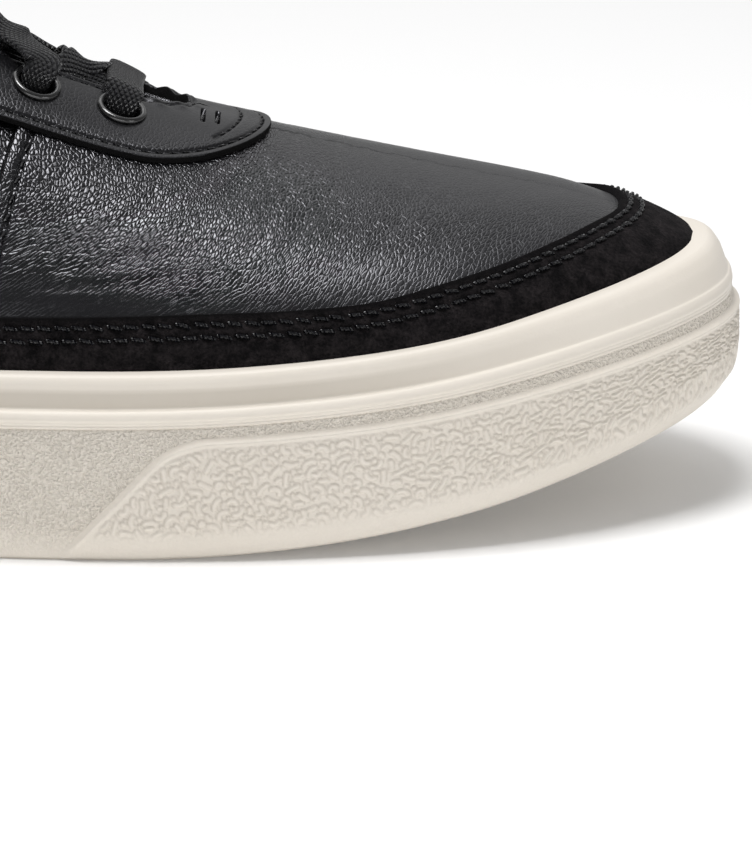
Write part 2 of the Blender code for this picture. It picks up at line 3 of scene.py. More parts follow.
import bmesh
import bpy
import numpy as np
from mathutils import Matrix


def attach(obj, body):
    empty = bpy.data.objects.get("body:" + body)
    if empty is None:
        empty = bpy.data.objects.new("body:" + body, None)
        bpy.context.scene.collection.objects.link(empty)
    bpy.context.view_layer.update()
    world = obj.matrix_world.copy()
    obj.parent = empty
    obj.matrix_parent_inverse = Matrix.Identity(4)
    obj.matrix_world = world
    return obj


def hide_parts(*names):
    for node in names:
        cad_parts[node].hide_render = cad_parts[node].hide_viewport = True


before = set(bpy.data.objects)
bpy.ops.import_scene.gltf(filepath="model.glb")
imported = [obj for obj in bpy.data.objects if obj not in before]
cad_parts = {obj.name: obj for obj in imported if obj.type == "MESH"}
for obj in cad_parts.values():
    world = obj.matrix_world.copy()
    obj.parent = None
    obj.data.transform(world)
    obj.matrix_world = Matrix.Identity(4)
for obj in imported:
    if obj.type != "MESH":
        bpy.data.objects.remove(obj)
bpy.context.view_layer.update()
scene = bpy.context.scene
scene.view_settings.view_transform = "Standard"
scene.view_settings.exposure = 0.12

# The photo's view: 16 degrees above the outer side, 1.3 m away, focal length in pixels of an image 858 tall
view = dict(elevation=16.0, distance=1.300, focal=7215.0, tall=858, target=(0.080848, 0.0, 0.009080))


def setCamera():
    tilt = math.radians(view["elevation"])
    data = bpy.data.cameras.new("camera")
    data.lens = view["focal"] * data.sensor_width / view["tall"]
    data.clip_end = 50
    camera = bpy.data.objects.new("camera", data)
    back = np.array([0, -math.cos(tilt), math.sin(tilt)])
    camera.location = np.array(view["target"]) + back * view["distance"]
    camera.rotation_euler = (math.pi / 2 - tilt, 0, 0)
    scene.collection.objects.link(camera)
    scene.camera = camera


setCamera()
print("camera set")

# Sizes of the last, the cup and the layers, in metres, as in the solids
shoe = dict(
    half=0.146, toeSpring=0.0172, springStart=0.033, heelBevel=0.0030, bevelStart=0.112,
    toeRound=0.045, heelRound=-0.100, endPower=2.4, lastRound=0.112,
    gap=0.0003, wall=0.0020, collarPad=0.0060, overlay=0.0012,
    insetSide=0.0065, insetToe=0.0094, insetFrom=0.085, insetTo=0.140,
    cupFloor=0.0150, cupFloorHeel=0.0200, floorFrom=-0.060, floorTo=0.030, insole=0.0040,
    throatFront=0.047, throatRound=0.010, throatFrom=-0.100, throatTo=-0.080,
    seamTop=0.0190, seamLean=0.0158, seamFrom=0.30, seamSpread=0.045, vampStep=0.0010,
    collarRear=-0.1341, collarFrom=-0.075, collarTo=-0.050, suedeTip=0.1238, suedeHeel=-0.1392,
    stayFront=0.0620, stayRound=0.0380, stayRear=-0.0490,
)
# station, half width before the ends are rounded, sideways bend of the middle line
solePlan = np.array([
    (-0.146, 0.0315, 0.0000), (-0.125, 0.0365, 0.0000), (-0.100, 0.0385, -0.0002), (-0.060, 0.0393, -0.0027),
    (-0.020, 0.0420, -0.0055), (0.013, 0.0470, -0.0045), (0.035, 0.0512, -0.0018), (0.055, 0.0529, 0.0002),
    (0.075, 0.0530, 0.0016), (0.092, 0.0525, 0.0025), (0.108, 0.0515, 0.0033), (0.126, 0.0475, 0.0030),
    (0.146, 0.0420, 0.0022)])
# station, height of the cup's lip
lipLine = np.array([
    (-0.146, 0.0375), (-0.100, 0.0355), (-0.040, 0.0338), (0.016, 0.0332), (0.060, 0.0340), (0.092, 0.0366),
    (0.113, 0.0398), (0.127, 0.0421), (0.146, 0.0454)])
# station, ridge height, shift to the inner side, wall angle, fullness of wall and crown
lastRows = np.array([
    (-0.140, 0.1160, 0.0000, 88, 0.55, 0.50), (-0.100, 0.1210, 0.0005, 88, 0.55, 0.50),
    (-0.070, 0.1205, 0.0022, 86, 0.55, 0.46), (-0.045, 0.1100, 0.0042, 84, 0.52, 0.42),
    (-0.020, 0.0975, 0.0055, 82, 0.50, 0.38), (0.010, 0.0822, 0.0050, 80, 0.50, 0.36),
    (0.036, 0.0716, 0.0030, 78, 0.50, 0.38), (0.050, 0.0674, 0.0020, 76, 0.50, 0.42),
    (0.064, 0.0640, 0.0012, 74, 0.50, 0.46), (0.085, 0.0592, 0.0004, 72, 0.50, 0.50),
    (0.118, 0.0525, 0.0000, 68, 0.50, 0.55), (0.140, 0.0486, 0.0000, 62, 0.50, 0.60)])
# station and: height of the collar, half width of the throat, suede's top and eyestay's reach (outer, inner side)
collarLine = np.array([
    (-0.140, 0.0850), (-0.125, 0.0830), (-0.105, 0.0715), (-0.085, 0.0670), (-0.068, 0.0740), (-0.055, 0.0890),
    (-0.045, 0.1080), (-0.030, 0.1500)])
throatLine = np.array([(-0.060, 0.0100), (0.000, 0.0062), (0.047, 0.0045)])
suedeLine = np.array([
    (-0.146, 0.0500, 0.0500), (-0.100, 0.0450, 0.0450), (-0.040, 0.0424, 0.0424), (0.016, 0.0417, 0.0417),
    (0.051, 0.0422, 0.0422), (0.070, 0.0425, 0.0425), (0.080, 0.0431, 0.0431), (0.091, 0.0449, 0.0445),
    (0.102, 0.0469, 0.0460), (0.112, 0.0489, 0.0473), (0.1185, 0.0500, 0.0484), (0.124, 0.0503, 0.0503),
    (0.146, 0.0503, 0.0503)])
stayLine = np.array([
    (-0.060, 0.0250, 0.0200), (-0.010, 0.0212, 0.0190), (0.015, 0.0206, 0.0198), (0.036, 0.0218, 0.0216),
    (0.062, 0.0218, 0.0218)])
tongueRows = np.array([  # station, reach, thickness, depth under the upper
    (-0.066, 0.0235, 0.0060, 0.0012), (-0.045, 0.0240, 0.0060, 0.0018), (0.000, 0.0225, 0.0050, 0.0018),
    (0.040, 0.0180, 0.0030, 0.0014), (0.066, 0.0150, 0.0022, 0.0006)])


def smoothLine(rows, column, x):  # cubic through a table's rows, each row's slope taken from its neighbours
    stations, values = rows[:, 0], rows[:, column]
    slopes = np.gradient(values, stations)
    i = np.clip(np.searchsorted(stations, x) - 1, 0, len(stations) - 2)
    span = stations[i + 1] - stations[i]
    t = np.clip((x - stations[i]) / span, 0.0, 1.0)
    start = (1 + 2 * t) * (1 - t) ** 2 * values[i] + t * (1 - t) ** 2 * span * slopes[i]
    return start + t * t * (3 - 2 * t) * values[i + 1] - t * t * (1 - t) * span * slopes[i + 1]


def ease(x, start, end):  # smooth step from 0 at start to 1 at end
    t = np.clip((x - start) / (end - start), 0.0, 1.0)
    return t * t * (3 - 2 * t)


def roundEnd(x, start, end, power=2.0):  # quarter of an oval: 1 up to start, 0 at end
    u = np.clip((x - start) / (end - start), 0.0, 1.0)
    return (1 - u ** power) ** (1 / power)


def bell(x, middle, width):  # soft hump of that half width
    return np.exp(-((x - middle) / width) ** 2)


def planAt(turn):
    # plan of the sole by an angle from heel (-90) to toe (+90): length as its sine, width with oval ends
    x = shoe["half"] * np.sin(turn)
    ends = roundEnd(x, shoe["toeRound"], shoe["half"], shoe["endPower"])
    ends = ends * roundEnd(x, shoe["heelRound"], -shoe["half"], shoe["endPower"])
    return x, smoothLine(solePlan, 1, x) * ends


def insetPlan(turn, inset):  # the plan drawn in square to its own edge: x, middle line, half width
    x, width = planAt(turn)
    limit = math.radians(89.9)
    near = np.clip(turn, -limit, limit)
    x0, w0 = planAt(near - 1e-4)
    x1, w1 = planAt(near + 1e-4)
    size = np.hypot(x1 - x0, w1 - w0)
    xIn = x + inset * (w1 - w0) / size
    widthIn = np.where(np.abs(turn) > limit, 0.0, width - inset * (x1 - x0) / size)
    return xIn, smoothLine(solePlan, 2, xIn), np.maximum(widthIn, 0.0)


def groundAt(x):  # underside: flat, rising as a square at toe and heel
    toe = np.clip((x - shoe["springStart"]) / (shoe["half"] - shoe["springStart"]), 0.0, 1.0)
    heel = np.clip((-shoe["bevelStart"] - x) / (shoe["half"] - shoe["bevelStart"]), 0.0, 1.0)
    return shoe["toeSpring"] * toe ** 2 + shoe["heelBevel"] * heel ** 2


def upperInset(turn):
    toe = ease(shoe["half"] * np.sin(turn), shoe["insetFrom"], shoe["insetTo"])
    return shoe["insetSide"] + (shoe["insetToe"] - shoe["insetSide"]) * toe


def lastAt(turn, across, grow=0.0):  # skin of the last: each half section is a cubic from ridge (0) to lip (1)
    turn, across = np.broadcast_arrays(turn, across)
    x, middle, width = insetPlan(turn, upperInset(turn) - grow)
    side = np.where(across < 0, -1.0, 1.0)
    t = np.abs(across)
    toeEnd = shoe["half"] - shoe["insetToe"] + grow
    heelEnd = shoe["insetSide"] - shoe["half"] - grow
    ends = roundEnd(x, shoe["lastRound"], toeEnd) * roundEnd(x, -shoe["lastRound"], heelEnd)
    shift = smoothLine(lastRows, 2, x) * ends
    reach = width - side * shift
    lip = smoothLine(lipLine, 1, x)
    rise = (smoothLine(lastRows, 1, x) + grow - lip) * ends
    full = smoothLine(lastRows, 4, x) * rise
    lean = full / np.tan(np.radians(smoothLine(lastRows, 3, x)))
    nearRidge = 3 * (1 - t) ** 2 * t
    nearLip = 3 * (1 - t) * t ** 2
    y = nearRidge * smoothLine(lastRows, 5, x) * reach + nearLip * (reach - lean) + t ** 3 * reach
    z = rise * ((1 - t) ** 3 + nearRidge) + nearLip * full
    return np.stack([x, middle + shift + side * y, lip + z], axis=-1)


def tangentsAt(turn, across):  # directions along the foot and over it, by small differences
    limit = math.radians(89.5)
    near = np.clip(turn, -limit, limit)
    step = 1e-4
    along = (lastAt(near + step, across) - lastAt(near - step, across)) / (2 * step)
    over = (lastAt(near, across + step) - lastAt(near, across - step)) / (2 * step)
    return along, over


def unit(vectors):
    return vectors / np.maximum(np.linalg.norm(vectors, axis=-1, keepdims=True), 1e-12)


def normalAt(turn, across):  # outward direction of the skin, straight ahead or back at the two ends
    turn, across = np.broadcast_arrays(turn, across)
    normal = unit(np.cross(*tangentsAt(turn, across)))
    ahead = np.stack([np.sign(turn), 0 * turn, 0 * turn], axis=-1)
    return np.where(np.expand_dims(np.abs(turn) > math.radians(89.5), -1), ahead, normal)


def skinAt(turn, across, lift=0.0):  # skin raised along its normal
    turn, across = np.broadcast_arrays(turn, across)
    return lastAt(turn, across) + normalAt(turn, across) * np.expand_dims(np.broadcast_to(lift, turn.shape), -1)


def skinX(turn):
    return insetPlan(turn, upperInset(turn))[0]


def turnAt(x):  # angle of the section whose skin lies at x
    turns = np.radians(np.linspace(-90, 90, 7201))
    return np.interp(x, skinX(turns), turns)


def acrossAt(turn, side, wanted, byHeight):  # halving search for a height, or for a reach from the ridge
    low, high = np.zeros_like(turn), np.ones_like(turn)
    ridge = lastAt(turn, 0.0)[..., 1]
    for _ in range(40):
        middle = (low + high) / 2
        point = lastAt(turn, side * middle)
        inside = point[..., 2] > wanted if byHeight else np.abs(point[..., 1] - ridge) < wanted
        low, high = np.where(inside, middle, low), np.where(inside, high, middle)
    return np.where(high < 1e-6, 0.0, high)


def openingEdge(turn, side):  # throat and collar run into each other as a sixth-power sum, 0 where closed
    x = skinX(turn)
    gap = smoothLine(throatLine, 1, x)
    gap = gap * roundEnd(x, shoe["throatFront"] - shoe["throatRound"], shoe["throatFront"])
    throat = acrossAt(turn, side, gap * ease(x, shoe["throatFrom"], shoe["throatTo"]), False)
    collar = acrossAt(turn, side, smoothLine(collarLine, 1, x), True)
    return (throat ** 6 + collar ** 6) ** (1 / 6)


def suedeEdge(turn, side):
    return acrossAt(turn, side, smoothLine(suedeLine, 1 if side < 0 else 2, skinX(turn)), True)


def stayEdge(turn, side):
    x = skinX(turn)
    reach = smoothLine(stayLine, 1 if side < 0 else 2, x)
    return acrossAt(turn, side, reach * roundEnd(x, shoe["stayRound"], shoe["stayFront"]), False)


def floorAt(x):  # inside floor of the cup, thicker under the heel
    heel = 1 - ease(x, shoe["floorFrom"], shoe["floorTo"])
    return groundAt(x) + shoe["cupFloor"] + (shoe["cupFloorHeel"] - shoe["cupFloor"]) * heel


def wallRing(turn, side, lift, z):  # points under the lip line, moved out square to it
    x, middle, width = insetPlan(turn, upperInset(turn) - lift)
    return np.stack([x, middle + side * width, np.broadcast_to(z, x.shape)], axis=-1)


def walkSkin(turn, across, toward, distance, steps=4):  # moves places over the skin, step by step
    for _ in range(steps):
        along, over = tangentsAt(turn, across)
        move = toward * distance / steps
        aa, ab, bb = (along * along).sum(-1), (along * over).sum(-1), (over * over).sum(-1)
        am, bm = (along * move).sum(-1), (over * move).sum(-1)
        area = np.maximum(aa * bb - ab * ab, 1e-18)
        turn = turn + (am * bb - bm * ab) / area
        across = across + (bm * aa - am * ab) / area
    return turn, across


def insideEdge(turn, across, distance):  # a line on the skin at a distance to the left of an edge
    points = lastAt(turn, across)
    left = unit(np.cross(normalAt(turn, across), np.gradient(points, axis=0)))
    return walkSkin(turn, across, left, distance)


def gridFaces(columns, rows, wrap=False):  # quads of a grid whose points are counted row by row in each column
    index = np.arange(columns * rows).reshape(columns, rows)
    if wrap:
        index = np.concatenate([index, index[:, :1]], axis=1)
    corners = [index[:-1, :-1], index[1:, :-1], index[1:, 1:], index[:-1, 1:]]
    return np.stack(corners, axis=-1)


def bothSides(turn, edgeOf, ends=(-1,)):  # an edge as one line: outer side, round its end, inner side
    outer, inner = edgeOf(turn, -1), edgeOf(turn, 1)
    outer[list(ends)] = inner[list(ends)] = 0
    return np.concatenate([turn, turn[-2::-1]]), np.concatenate([-outer, inner[-2::-1]])


def joinSides(grids, flipped):  # the outer and the inner grid in one mesh, the faces of one turned over
    columns, rows = grids[0].shape[:2]
    quads = gridFaces(columns, rows).reshape(-1, 4)
    faces = [quads, quads + columns * rows]
    faces[flipped] = faces[flipped][:, ::-1]
    return np.concatenate(grids), np.concatenate(faces)


def tubeFaces(rings, sides, count):  # faces of that many tubes alike
    one = gridFaces(rings, sides, wrap=True).reshape(-1, 4)
    return one[None] + (np.arange(count) * rings * sides)[:, None, None]


def triples(*parts):  # three values side by side as a vector
    return np.stack(np.broadcast_arrays(*parts), axis=-1)


def running(steps):  # running sum that starts at 0
    return np.insert(np.cumsum(steps), 0, 0.0)


def lengthsOver(points, axis):  # running length along one way of a grid
    steps = np.linalg.norm(np.diff(points, axis=axis), axis=-1)
    return np.insert(np.cumsum(steps, axis=axis), 0, 0.0, axis=axis)


def distanceTo(points, path):  # shortest distance from each point to a line of close points, in blocks
    flat = points.reshape(-1, 3)
    blocks = np.array_split(flat, max(1, len(flat) * len(path) // 3000000))
    near = [np.sqrt(((block[:, None] - path[None]) ** 2).sum(-1).min(1)) for block in blocks]
    return np.concatenate(near).reshape(points.shape[:-1])


def addPiece(name, points, faces, materials, slot, replaced=(), which=None, vectors=None, closed=True):
    mesh = bpy.data.meshes.new(name)
    mesh.from_pydata(points.reshape(-1, 3).tolist(), [], faces.reshape(-1, 4).tolist())
    for key, values in (vectors or {}).items():
        attribute = mesh.attributes.new(key, "FLOAT_VECTOR", "POINT")
        attribute.data.foreach_set("vector", np.ascontiguousarray(values, dtype=np.float32).ravel())
    for material in materials:
        mesh.materials.append(material)
    if which is not None:
        mesh.polygons.foreach_set("material_index", np.ascontiguousarray(which.ravel(), dtype=np.int32))
    shape = bmesh.new()
    shape.from_mesh(mesh)
    bmesh.ops.remove_doubles(shape, verts=shape.verts, dist=2e-6)
    bmesh.ops.dissolve_degenerate(shape, edges=shape.edges, dist=1e-6)
    if closed:
        bmesh.ops.recalc_face_normals(shape, faces=shape.faces)
    shape.to_mesh(mesh)
    shape.free()
    mesh.shade_smooth()
    piece = bpy.data.objects.new(name, mesh)
    scene.collection.objects.link(piece)
    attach(piece, "root")
    if replaced:
        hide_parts(*replaced)
    print(name, len(mesh.polygons), "faces")
    return piece


def linear(code):  # sRGB hex to linear light
    values = np.array([int(code[i:i + 2], 16) for i in (1, 3, 5)]) / 255
    low = values <= 0.04045
    return (*np.where(low, values / 12.92, ((values + 0.055) / 1.055) ** 2.4), 1.0)


def addNode(tree, kind, links=None, **settings):  # one node with its settings, its values and its links
    made = tree.nodes.new("ShaderNode" + kind)
    for key, value in settings.items():
        setattr(made, key, value)
    for socket, value in (links or {}).items():
        if isinstance(value, bpy.types.NodeSocket):
            tree.links.new(value, made.inputs[socket])
        else:
            made.inputs[socket].default_value = value
    return made


def calc(tree, operation, *values):
    return addNode(tree, "Math", dict(enumerate(values)), operation=operation).outputs[0]


def noise(tree, vector, scale, detail, output="Fac", rough=0.5):
    values = {"Vector": vector, "Scale": scale, "Detail": detail, "Roughness": rough}
    return addNode(tree, "TexNoise", values).outputs[output]


def ramp(tree, value, start, end, low=0.0, high=1.0, kind="LINEAR"):  # from low at start to high at end
    values = {"Value": value, "From Min": start, "From Max": end, "To Min": low, "To Max": high}
    return addNode(tree, "MapRange", values, interpolation_type=kind).outputs[0]


def blend(tree, share, first, second):  # two colours, each a hex code or a socket
    first, second = (linear(colour) if isinstance(colour, str) else colour for colour in (first, second))
    return addNode(tree, "Mix", {0: share, 6: first, 7: second}, data_type="RGBA").outputs[2]


def bumpOf(tree, height, distance, strength=1.0, **more):
    values = {"Height": height, "Distance": distance, "Strength": strength, **more}
    return addNode(tree, "Bump", values).outputs[0]


def splitUp(tree, vector):  # the three values of a vector
    return addNode(tree, "SeparateXYZ", {0: vector}).outputs


def attributeOf(tree, name):
    return addNode(tree, "Attribute", attribute_name=name).outputs["Vector"]


def placeOf(tree):
    return addNode(tree, "TexCoord").outputs["Object"]


def newMaterial(name, **sockets):  # a Principled material with the values that are the same all over
    material = bpy.data.materials.new(name)
    material.use_nodes = True
    shader = material.node_tree.nodes["Principled BSDF"]
    for key, value in sockets.items():
        shader.inputs[key.replace("_", " ")].default_value = value
    return material, material.node_tree


def wire(tree, **sockets):  # what varies over the surface
    shader = tree.nodes["Principled BSDF"]
    for key, socket in sockets.items():
        tree.links.new(socket, shader.inputs[key.replace("_", " ")])


# pebbles by width, length, depth and reach of their sides; drift bends their rows, toe is where the gloss fades
leather = dict(base="#060607", dustAndShade="#0c0c0e", tint="#f8f8ff", rough=0.20, wide=0.74, long=1.20, depth=0.000074,
               reach=0.42, flat=3.4, tilt=1.6, swell=2.1, drift=6.0, toe=(0.045, 0.100))
# mm above the lip, lean of the grain's lines
grainLean = np.array([(0, 1.05), (10, 0.95), (24, 0.60), (36, -0.30), (50, -0.40), (140, -0.40)])


def grainPlaces(u, v):
    # mm along with the grain's lean taken out: its lines lean forward low down and back near the top
    high = np.linspace(0, 140, 561)
    lean = np.interp(high, grainLean[:, 0], grainLean[:, 1])
    run = running((lean[1:] + lean[:-1]) / 2 * np.diff(high))
    return u - np.interp(v, high, run) * (1.1 - 0.8 * ease(u, 20, 90))  # upright towards the toe


def leatherMaterial(name, strength, rough, specular, fade=0.0):
    # Milled calf, dyed black and lightly waxed: small flat pebbles whose tops glint, dark cracks between them
    material, tree = newMaterial(name, Specular_IOR_Level=specular, IOR=1.50, Roughness=rough,
                                 Specular_Tint=linear(leather["tint"]))
    across, along, amount = splitUp(tree, attributeOf(tree, "flow"))  # mm across and along the grain, amount
    plane = addNode(tree, "CombineXYZ", {0: across, 1: along}).outputs[0]
    shift = addNode(tree, "VectorMath", {0: noise(tree, plane, 0.045, 2.0, "Color"), 1: (-0.5, -0.5, 0.0)},
                    operation="ADD").outputs[0]
    moved = addNode(tree, "VectorMath", {0: shift, 1: (leather["drift"], leather["drift"], 0.0), 2: plane},
                    operation="MULTIPLY_ADD").outputs[0]
    cells = addNode(tree, "Mapping", {
        "Vector": moved, "Scale": (1 / leather["wide"], 1 / leather["long"], 1.0)}).outputs[0]
    edge = addNode(tree, "TexVoronoi", {"Vector": cells, "Scale": 1.0, "Randomness": 0.95},  # a pebble to a cell
                   feature="DISTANCE_TO_EDGE", voronoi_dimensions="2D").outputs["Distance"]
    side = ramp(tree, edge, 0.0, leather["reach"], 1.0, 0.0)
    tops = calc(tree, "SUBTRACT", 1.0, calc(tree, "POWER", side, leather["flat"]))
    tilted = calc(tree, "MULTIPLY_ADD", noise(tree, cells, 0.8, 1.0), leather["tilt"], tops)
    height = calc(tree, "MULTIPLY_ADD", noise(tree, plane, 0.16, 2.0), leather["swell"], tilted)
    bump = bumpOf(tree, height, leather["depth"], calc(tree, "MULTIPLY", amount, strength))
    colour = blend(tree, noise(tree, plane, 0.05, 3.0), leather["base"], leather["dustAndShade"])
    wire(tree, Normal=bump, Base_Color=colour)
    if fade:  # duller where the leather is stretched over the toes
        x = splitUp(tree, placeOf(tree))[0]
        wire(tree, Roughness=ramp(tree, x, *leather["toe"], rough, rough + fade, "SMOOTHSTEP"))
    return material


suede = dict(base="#060506", worn="#2a2627", sheen="#57535a", nap=0.55, cloud=2.6, depth=0.00045)


def suedeMaterial():
    # Split hide, buffed: no gloss, a short speckled nap lying in small clouds, darker along its rolled top edge,
    # painted shade where that edge falls in shadow
    material, tree = newMaterial("black buffed suede", Roughness=1.0, Specular_IOR_Level=0.12, Sheen_Weight=0.08,
                                 Sheen_Roughness=0.5, Sheen_Tint=linear(suede["sheen"]))
    where = placeOf(tree)
    below = splitUp(tree, attributeOf(tree, "flow"))[0]  # mm below the edge
    nap = noise(tree, where, 1000 / suede["nap"], 3.0, rough=0.65)
    cloud = noise(tree, where, 1000 / suede["cloud"], 4.0)
    lifted = ramp(tree, calc(tree, "MULTIPLY", nap, cloud), 0.16, 0.46)
    # painted shade: the nap's lighter specks fade out towards the top edge
    share = calc(tree, "MULTIPLY", lifted, ramp(tree, below, 0.8, 2.6, 0.1, 1.0))
    wire(tree, Base_Color=blend(tree, share, suede["base"], suede["worn"]),
         Normal=bumpOf(tree, nap, suede["depth"], 0.8))
    return material


# cream and warm tones and the colour of the painted shade; roughness, extra dullness where sandblasted; sand
# grain and depth; painted shade in the sand's pits and in grooves and recesses
rubber = dict(base="#e9e2d8", warm="#e3dbcf", shade="#948a79", rough=0.50, dull=0.25, sand=0.50, depth=0.00080,
              pit=0.24, groove=0.28)
tread = dict(bend=0.012, slope=0.8, apart=0.004, wide=0.0007, depth=0.0012)


def rubberMaterial():
    # Vulcanised cream rubber: satin where the mould was polished, finely sandblasted on the lower wall
    material, tree = newMaterial("cream moulded rubber", Specular_IOR_Level=0.4, IOR=1.52)
    where = placeOf(tree)
    sanded, treaded, recessShade = splitUp(tree, attributeOf(tree, "grit"))
    sand = noise(tree, where, 1000 / rubber["sand"], 1.0, rough=0.6)
    blasted = bumpOf(tree, sand, rubber["depth"], calc(tree, "MULTIPLY_ADD", sanded, 0.90, 0.04))
    x, y, z = splitUp(tree, where)  # tread underneath: zigzag grooves, run across the foot
    zigzag = calc(tree, "MULTIPLY_ADD", calc(tree, "PINGPONG", y, tread["bend"]), tread["slope"], x)
    cut = ramp(tree, calc(tree, "PINGPONG", zigzag, tread["apart"] / 2), 0.0, tread["wide"], kind="SMOOTHSTEP")
    bump = bumpOf(tree, calc(tree, "MULTIPLY", cut, treaded), tread["depth"], Normal=blasted)
    clean = blend(tree, noise(tree, where, 45.0, 4.0), rubber["base"], rubber["warm"])
    # painted shade: darker in the sand's low pits, on the band's recessed floor and in the gaps round the worms
    pitShade = calc(tree, "MULTIPLY", ramp(tree, sand, 0.42, 0.58, rubber["pit"], 0.0), sanded)
    dustAndShade = calc(tree, "MULTIPLY_ADD", recessShade, rubber["groove"], pitShade)
    wire(tree, Normal=bump, Base_Color=blend(tree, dustAndShade, clean, rubber["shade"]),
         Roughness=calc(tree, "MULTIPLY_ADD", sanded, rubber["dull"], rubber["rough"]))
    return material


# black of the thread, the lighter colour of its painted sheen, pitch of the plies, depth of their bump
thread = dict(base="#040406", sheen="#15151d", ply=0.70, depth=0.0005)


def threadMaterial():
    # Bonded nylon thread: two plies twisted, so a slanting line of glints with a cold tinge; the plies' crests
    # are also painted lighter, a painted sheen
    material, tree = newMaterial("black bonded thread", Roughness=0.30, Specular_IOR_Level=0.5)
    along, turns, _ = splitUp(tree, attributeOf(tree, "flow"))  # mm along, turns round
    ply = calc(tree, "PINGPONG", calc(tree, "MULTIPLY_ADD", along, 1 / thread["ply"], turns), 0.5)
    wire(tree, Normal=bumpOf(tree, ply, thread["depth"]),
         Base_Color=blend(tree, ply, thread["base"], thread["sheen"]))
    return material


def wovenMaterial(name, base, top, pitch, depth, rough):
    # Woven or braided yarn: rows of small rounded crossings, painted darker between them as shade and lighter on
    # their tops as sheen
    material, tree = newMaterial(name, Roughness=rough, Specular_IOR_Level=0.45, Sheen_Weight=0.05,
                                 Sheen_Roughness=0.4)
    flow = attributeOf(tree, "flow")  # mm along, mm over
    along, over, _ = splitUp(tree, flow)
    waves = []
    for kind in ("ADD", "SUBTRACT"):  # the two slants of the yarns
        turns = calc(tree, "MULTIPLY", calc(tree, kind, along, over), math.pi / pitch)
        waves.append(calc(tree, "SINE", turns))
    crossings = calc(tree, "ABSOLUTE", calc(tree, "MULTIPLY", *waves))
    height = calc(tree, "MULTIPLY_ADD", noise(tree, flow, 5.0, 3.0), 0.5, crossings)
    wire(tree, Normal=bumpOf(tree, height, depth), Base_Color=blend(tree, height, base, top))
    return material


def enamelMaterial():
    # Brass eyelet, enamelled black: a hard gloss with a bright line along the roll, a little orange peel
    material, tree = newMaterial("black enamelled eyelet", Specular_IOR_Level=0.7, Coat_Weight=0.6,
                                 Coat_Roughness=0.12)
    peel = noise(tree, placeOf(tree), 900.0, 2.0)
    wire(tree, Normal=bumpOf(tree, peel, 0.0001, 0.15), Base_Color=blend(tree, peel, "#040405", "#09090a"),
         Roughness=ramp(tree, peel, 0.0, 1.0, 0.18, 0.30))
    return material


def rawEdgeMaterial():
    # Cut edge of the hide, dyed through: black, dull and fibrous
    material, tree = newMaterial("black cut leather edge", Roughness=0.95, Specular_IOR_Level=0.15)
    fibre = noise(tree, placeOf(tree), 2600.0, 3.0)
    wire(tree, Normal=bumpOf(tree, fibre, 0.0004, 0.5), Base_Color=blend(tree, fibre, "#020202", "#131213"))
    return material


vampLeather = leatherMaterial("black milled leather", 1.0, leather["rough"], 0.67, 0.13)
stayLeather = leatherMaterial("black smooth leather", 0.55, leather["rough"] + 0.10, 0.46)
rawEdge = rawEdgeMaterial()
buffedSuede = suedeMaterial()
creamRubber = rubberMaterial()
bondedThread = threadMaterial()
lacing = wovenMaterial("black braided polyester", "#020203", "#26262b", 1.10, 0.00130, 0.30)
lining = wovenMaterial("black knitted lining", "#0a0a0b", "#1d1d1f", 1.1, 0.00018, 0.92)
footbed = wovenMaterial("black footbed cloth", "#0d0d0e", "#202022", 1.3, 0.00015, 0.95)
enamel = enamelMaterial()
print("materials made")

# Side of the sole from the floor edge up to the lip, each row measured from the lip (1) or the floor (0), in mm:
# from lip, height, inset, extra inset at the toe, extra height at the toe, sandblast
soleSide = np.array([
    (0, 0.00, 2.00, 3.00, 0.00, 0.0), (0, 0.25, 1.65, 2.50, 0.15, 0.0), (0, 1.00, 1.30, 1.70, 0.60, 0.1),
    (0, 3.00, 1.00, 0.40, 1.80, 0.5), (0, 6.50, 0.90, 0.00, 3.00, 1.0), (1, -12.10, 1.00, -0.05, 0.00, 1.0),
    (1, -11.00, 1.02, 0.05, 0.00, 1.0), (1, -9.75, 1.08, 0.18, 0.00, 0.9), (1, -9.55, 1.42, 0.05, 0.00, 0.2),
    (1, -9.35, 1.00, 0.28, 0.00, 0.0), (1, -9.05, 0.94, 0.36, 0.00, 0.0), (1, -8.90, 1.18, 0.28, 0.00, 0.0),
    (1, -8.75, 0.92, 0.42, 0.00, 0.0), (1, -8.45, 0.80, 0.50, 0.00, 0.0), (1, -8.30, 0.96, 0.48, 0.00, 0.0),
    (1, -8.10, 0.66, 0.60, 0.00, 0.0), (1, -7.70, 0.54, 0.70, 0.00, 0.0), (1, -7.40, 0.56, 0.74, 0.00, 0.0),
    (1, -6.95, 0.70, 0.74, 0.00, 0.0), (1, -6.55, 1.02, 0.62, 0.00, 0.0), (1, -6.30, 1.46, 0.36, 0.00, 0.0),
    (1, -6.20, 1.98, 0.05, 0.00, 0.0), (1, -5.95, 2.12, 0.06, 0.00, 0.0), (1, -3.00, 2.12, 1.10, 0.00, 0.0),
    (1, -2.50, 2.08, 1.45, 0.00, 0.0), (1, -1.80, 2.02, 1.95, 0.00, 0.0), (1, -1.10, 2.16, 2.30, 0.00, 0.0),
    (1, -0.55, 2.50, 2.60, 0.00, 0.0), (1, -0.22, 3.15, 2.60, 0.00, 0.0), (1, -0.12, 4.60, 2.20, 0.00, 0.0),
    (1, -0.25, 5.80, 3.40, 0.00, 0.0)]) * np.array([1, 1e-3, 1e-3, 1e-3, 1e-3, 1])
# steps and softening of the profile; heights from the lip of ribs, lip's edge and the band, whose floor gets
# painted shade
sole = dict(columns=330, fine=0.00014, coarse=5, soften=1.6, blur=6, underRows=12, lip=0.0336, toeFrom=0.070,
            keel=0.0082, ribs=(-0.0099, -0.0053), lipEdge=-0.0026, bandLow=(-0.0063, -0.0058),
            bandHigh=(-0.0034, -0.0024), shade=1.3, shadeFade=(0.060, 0.125))


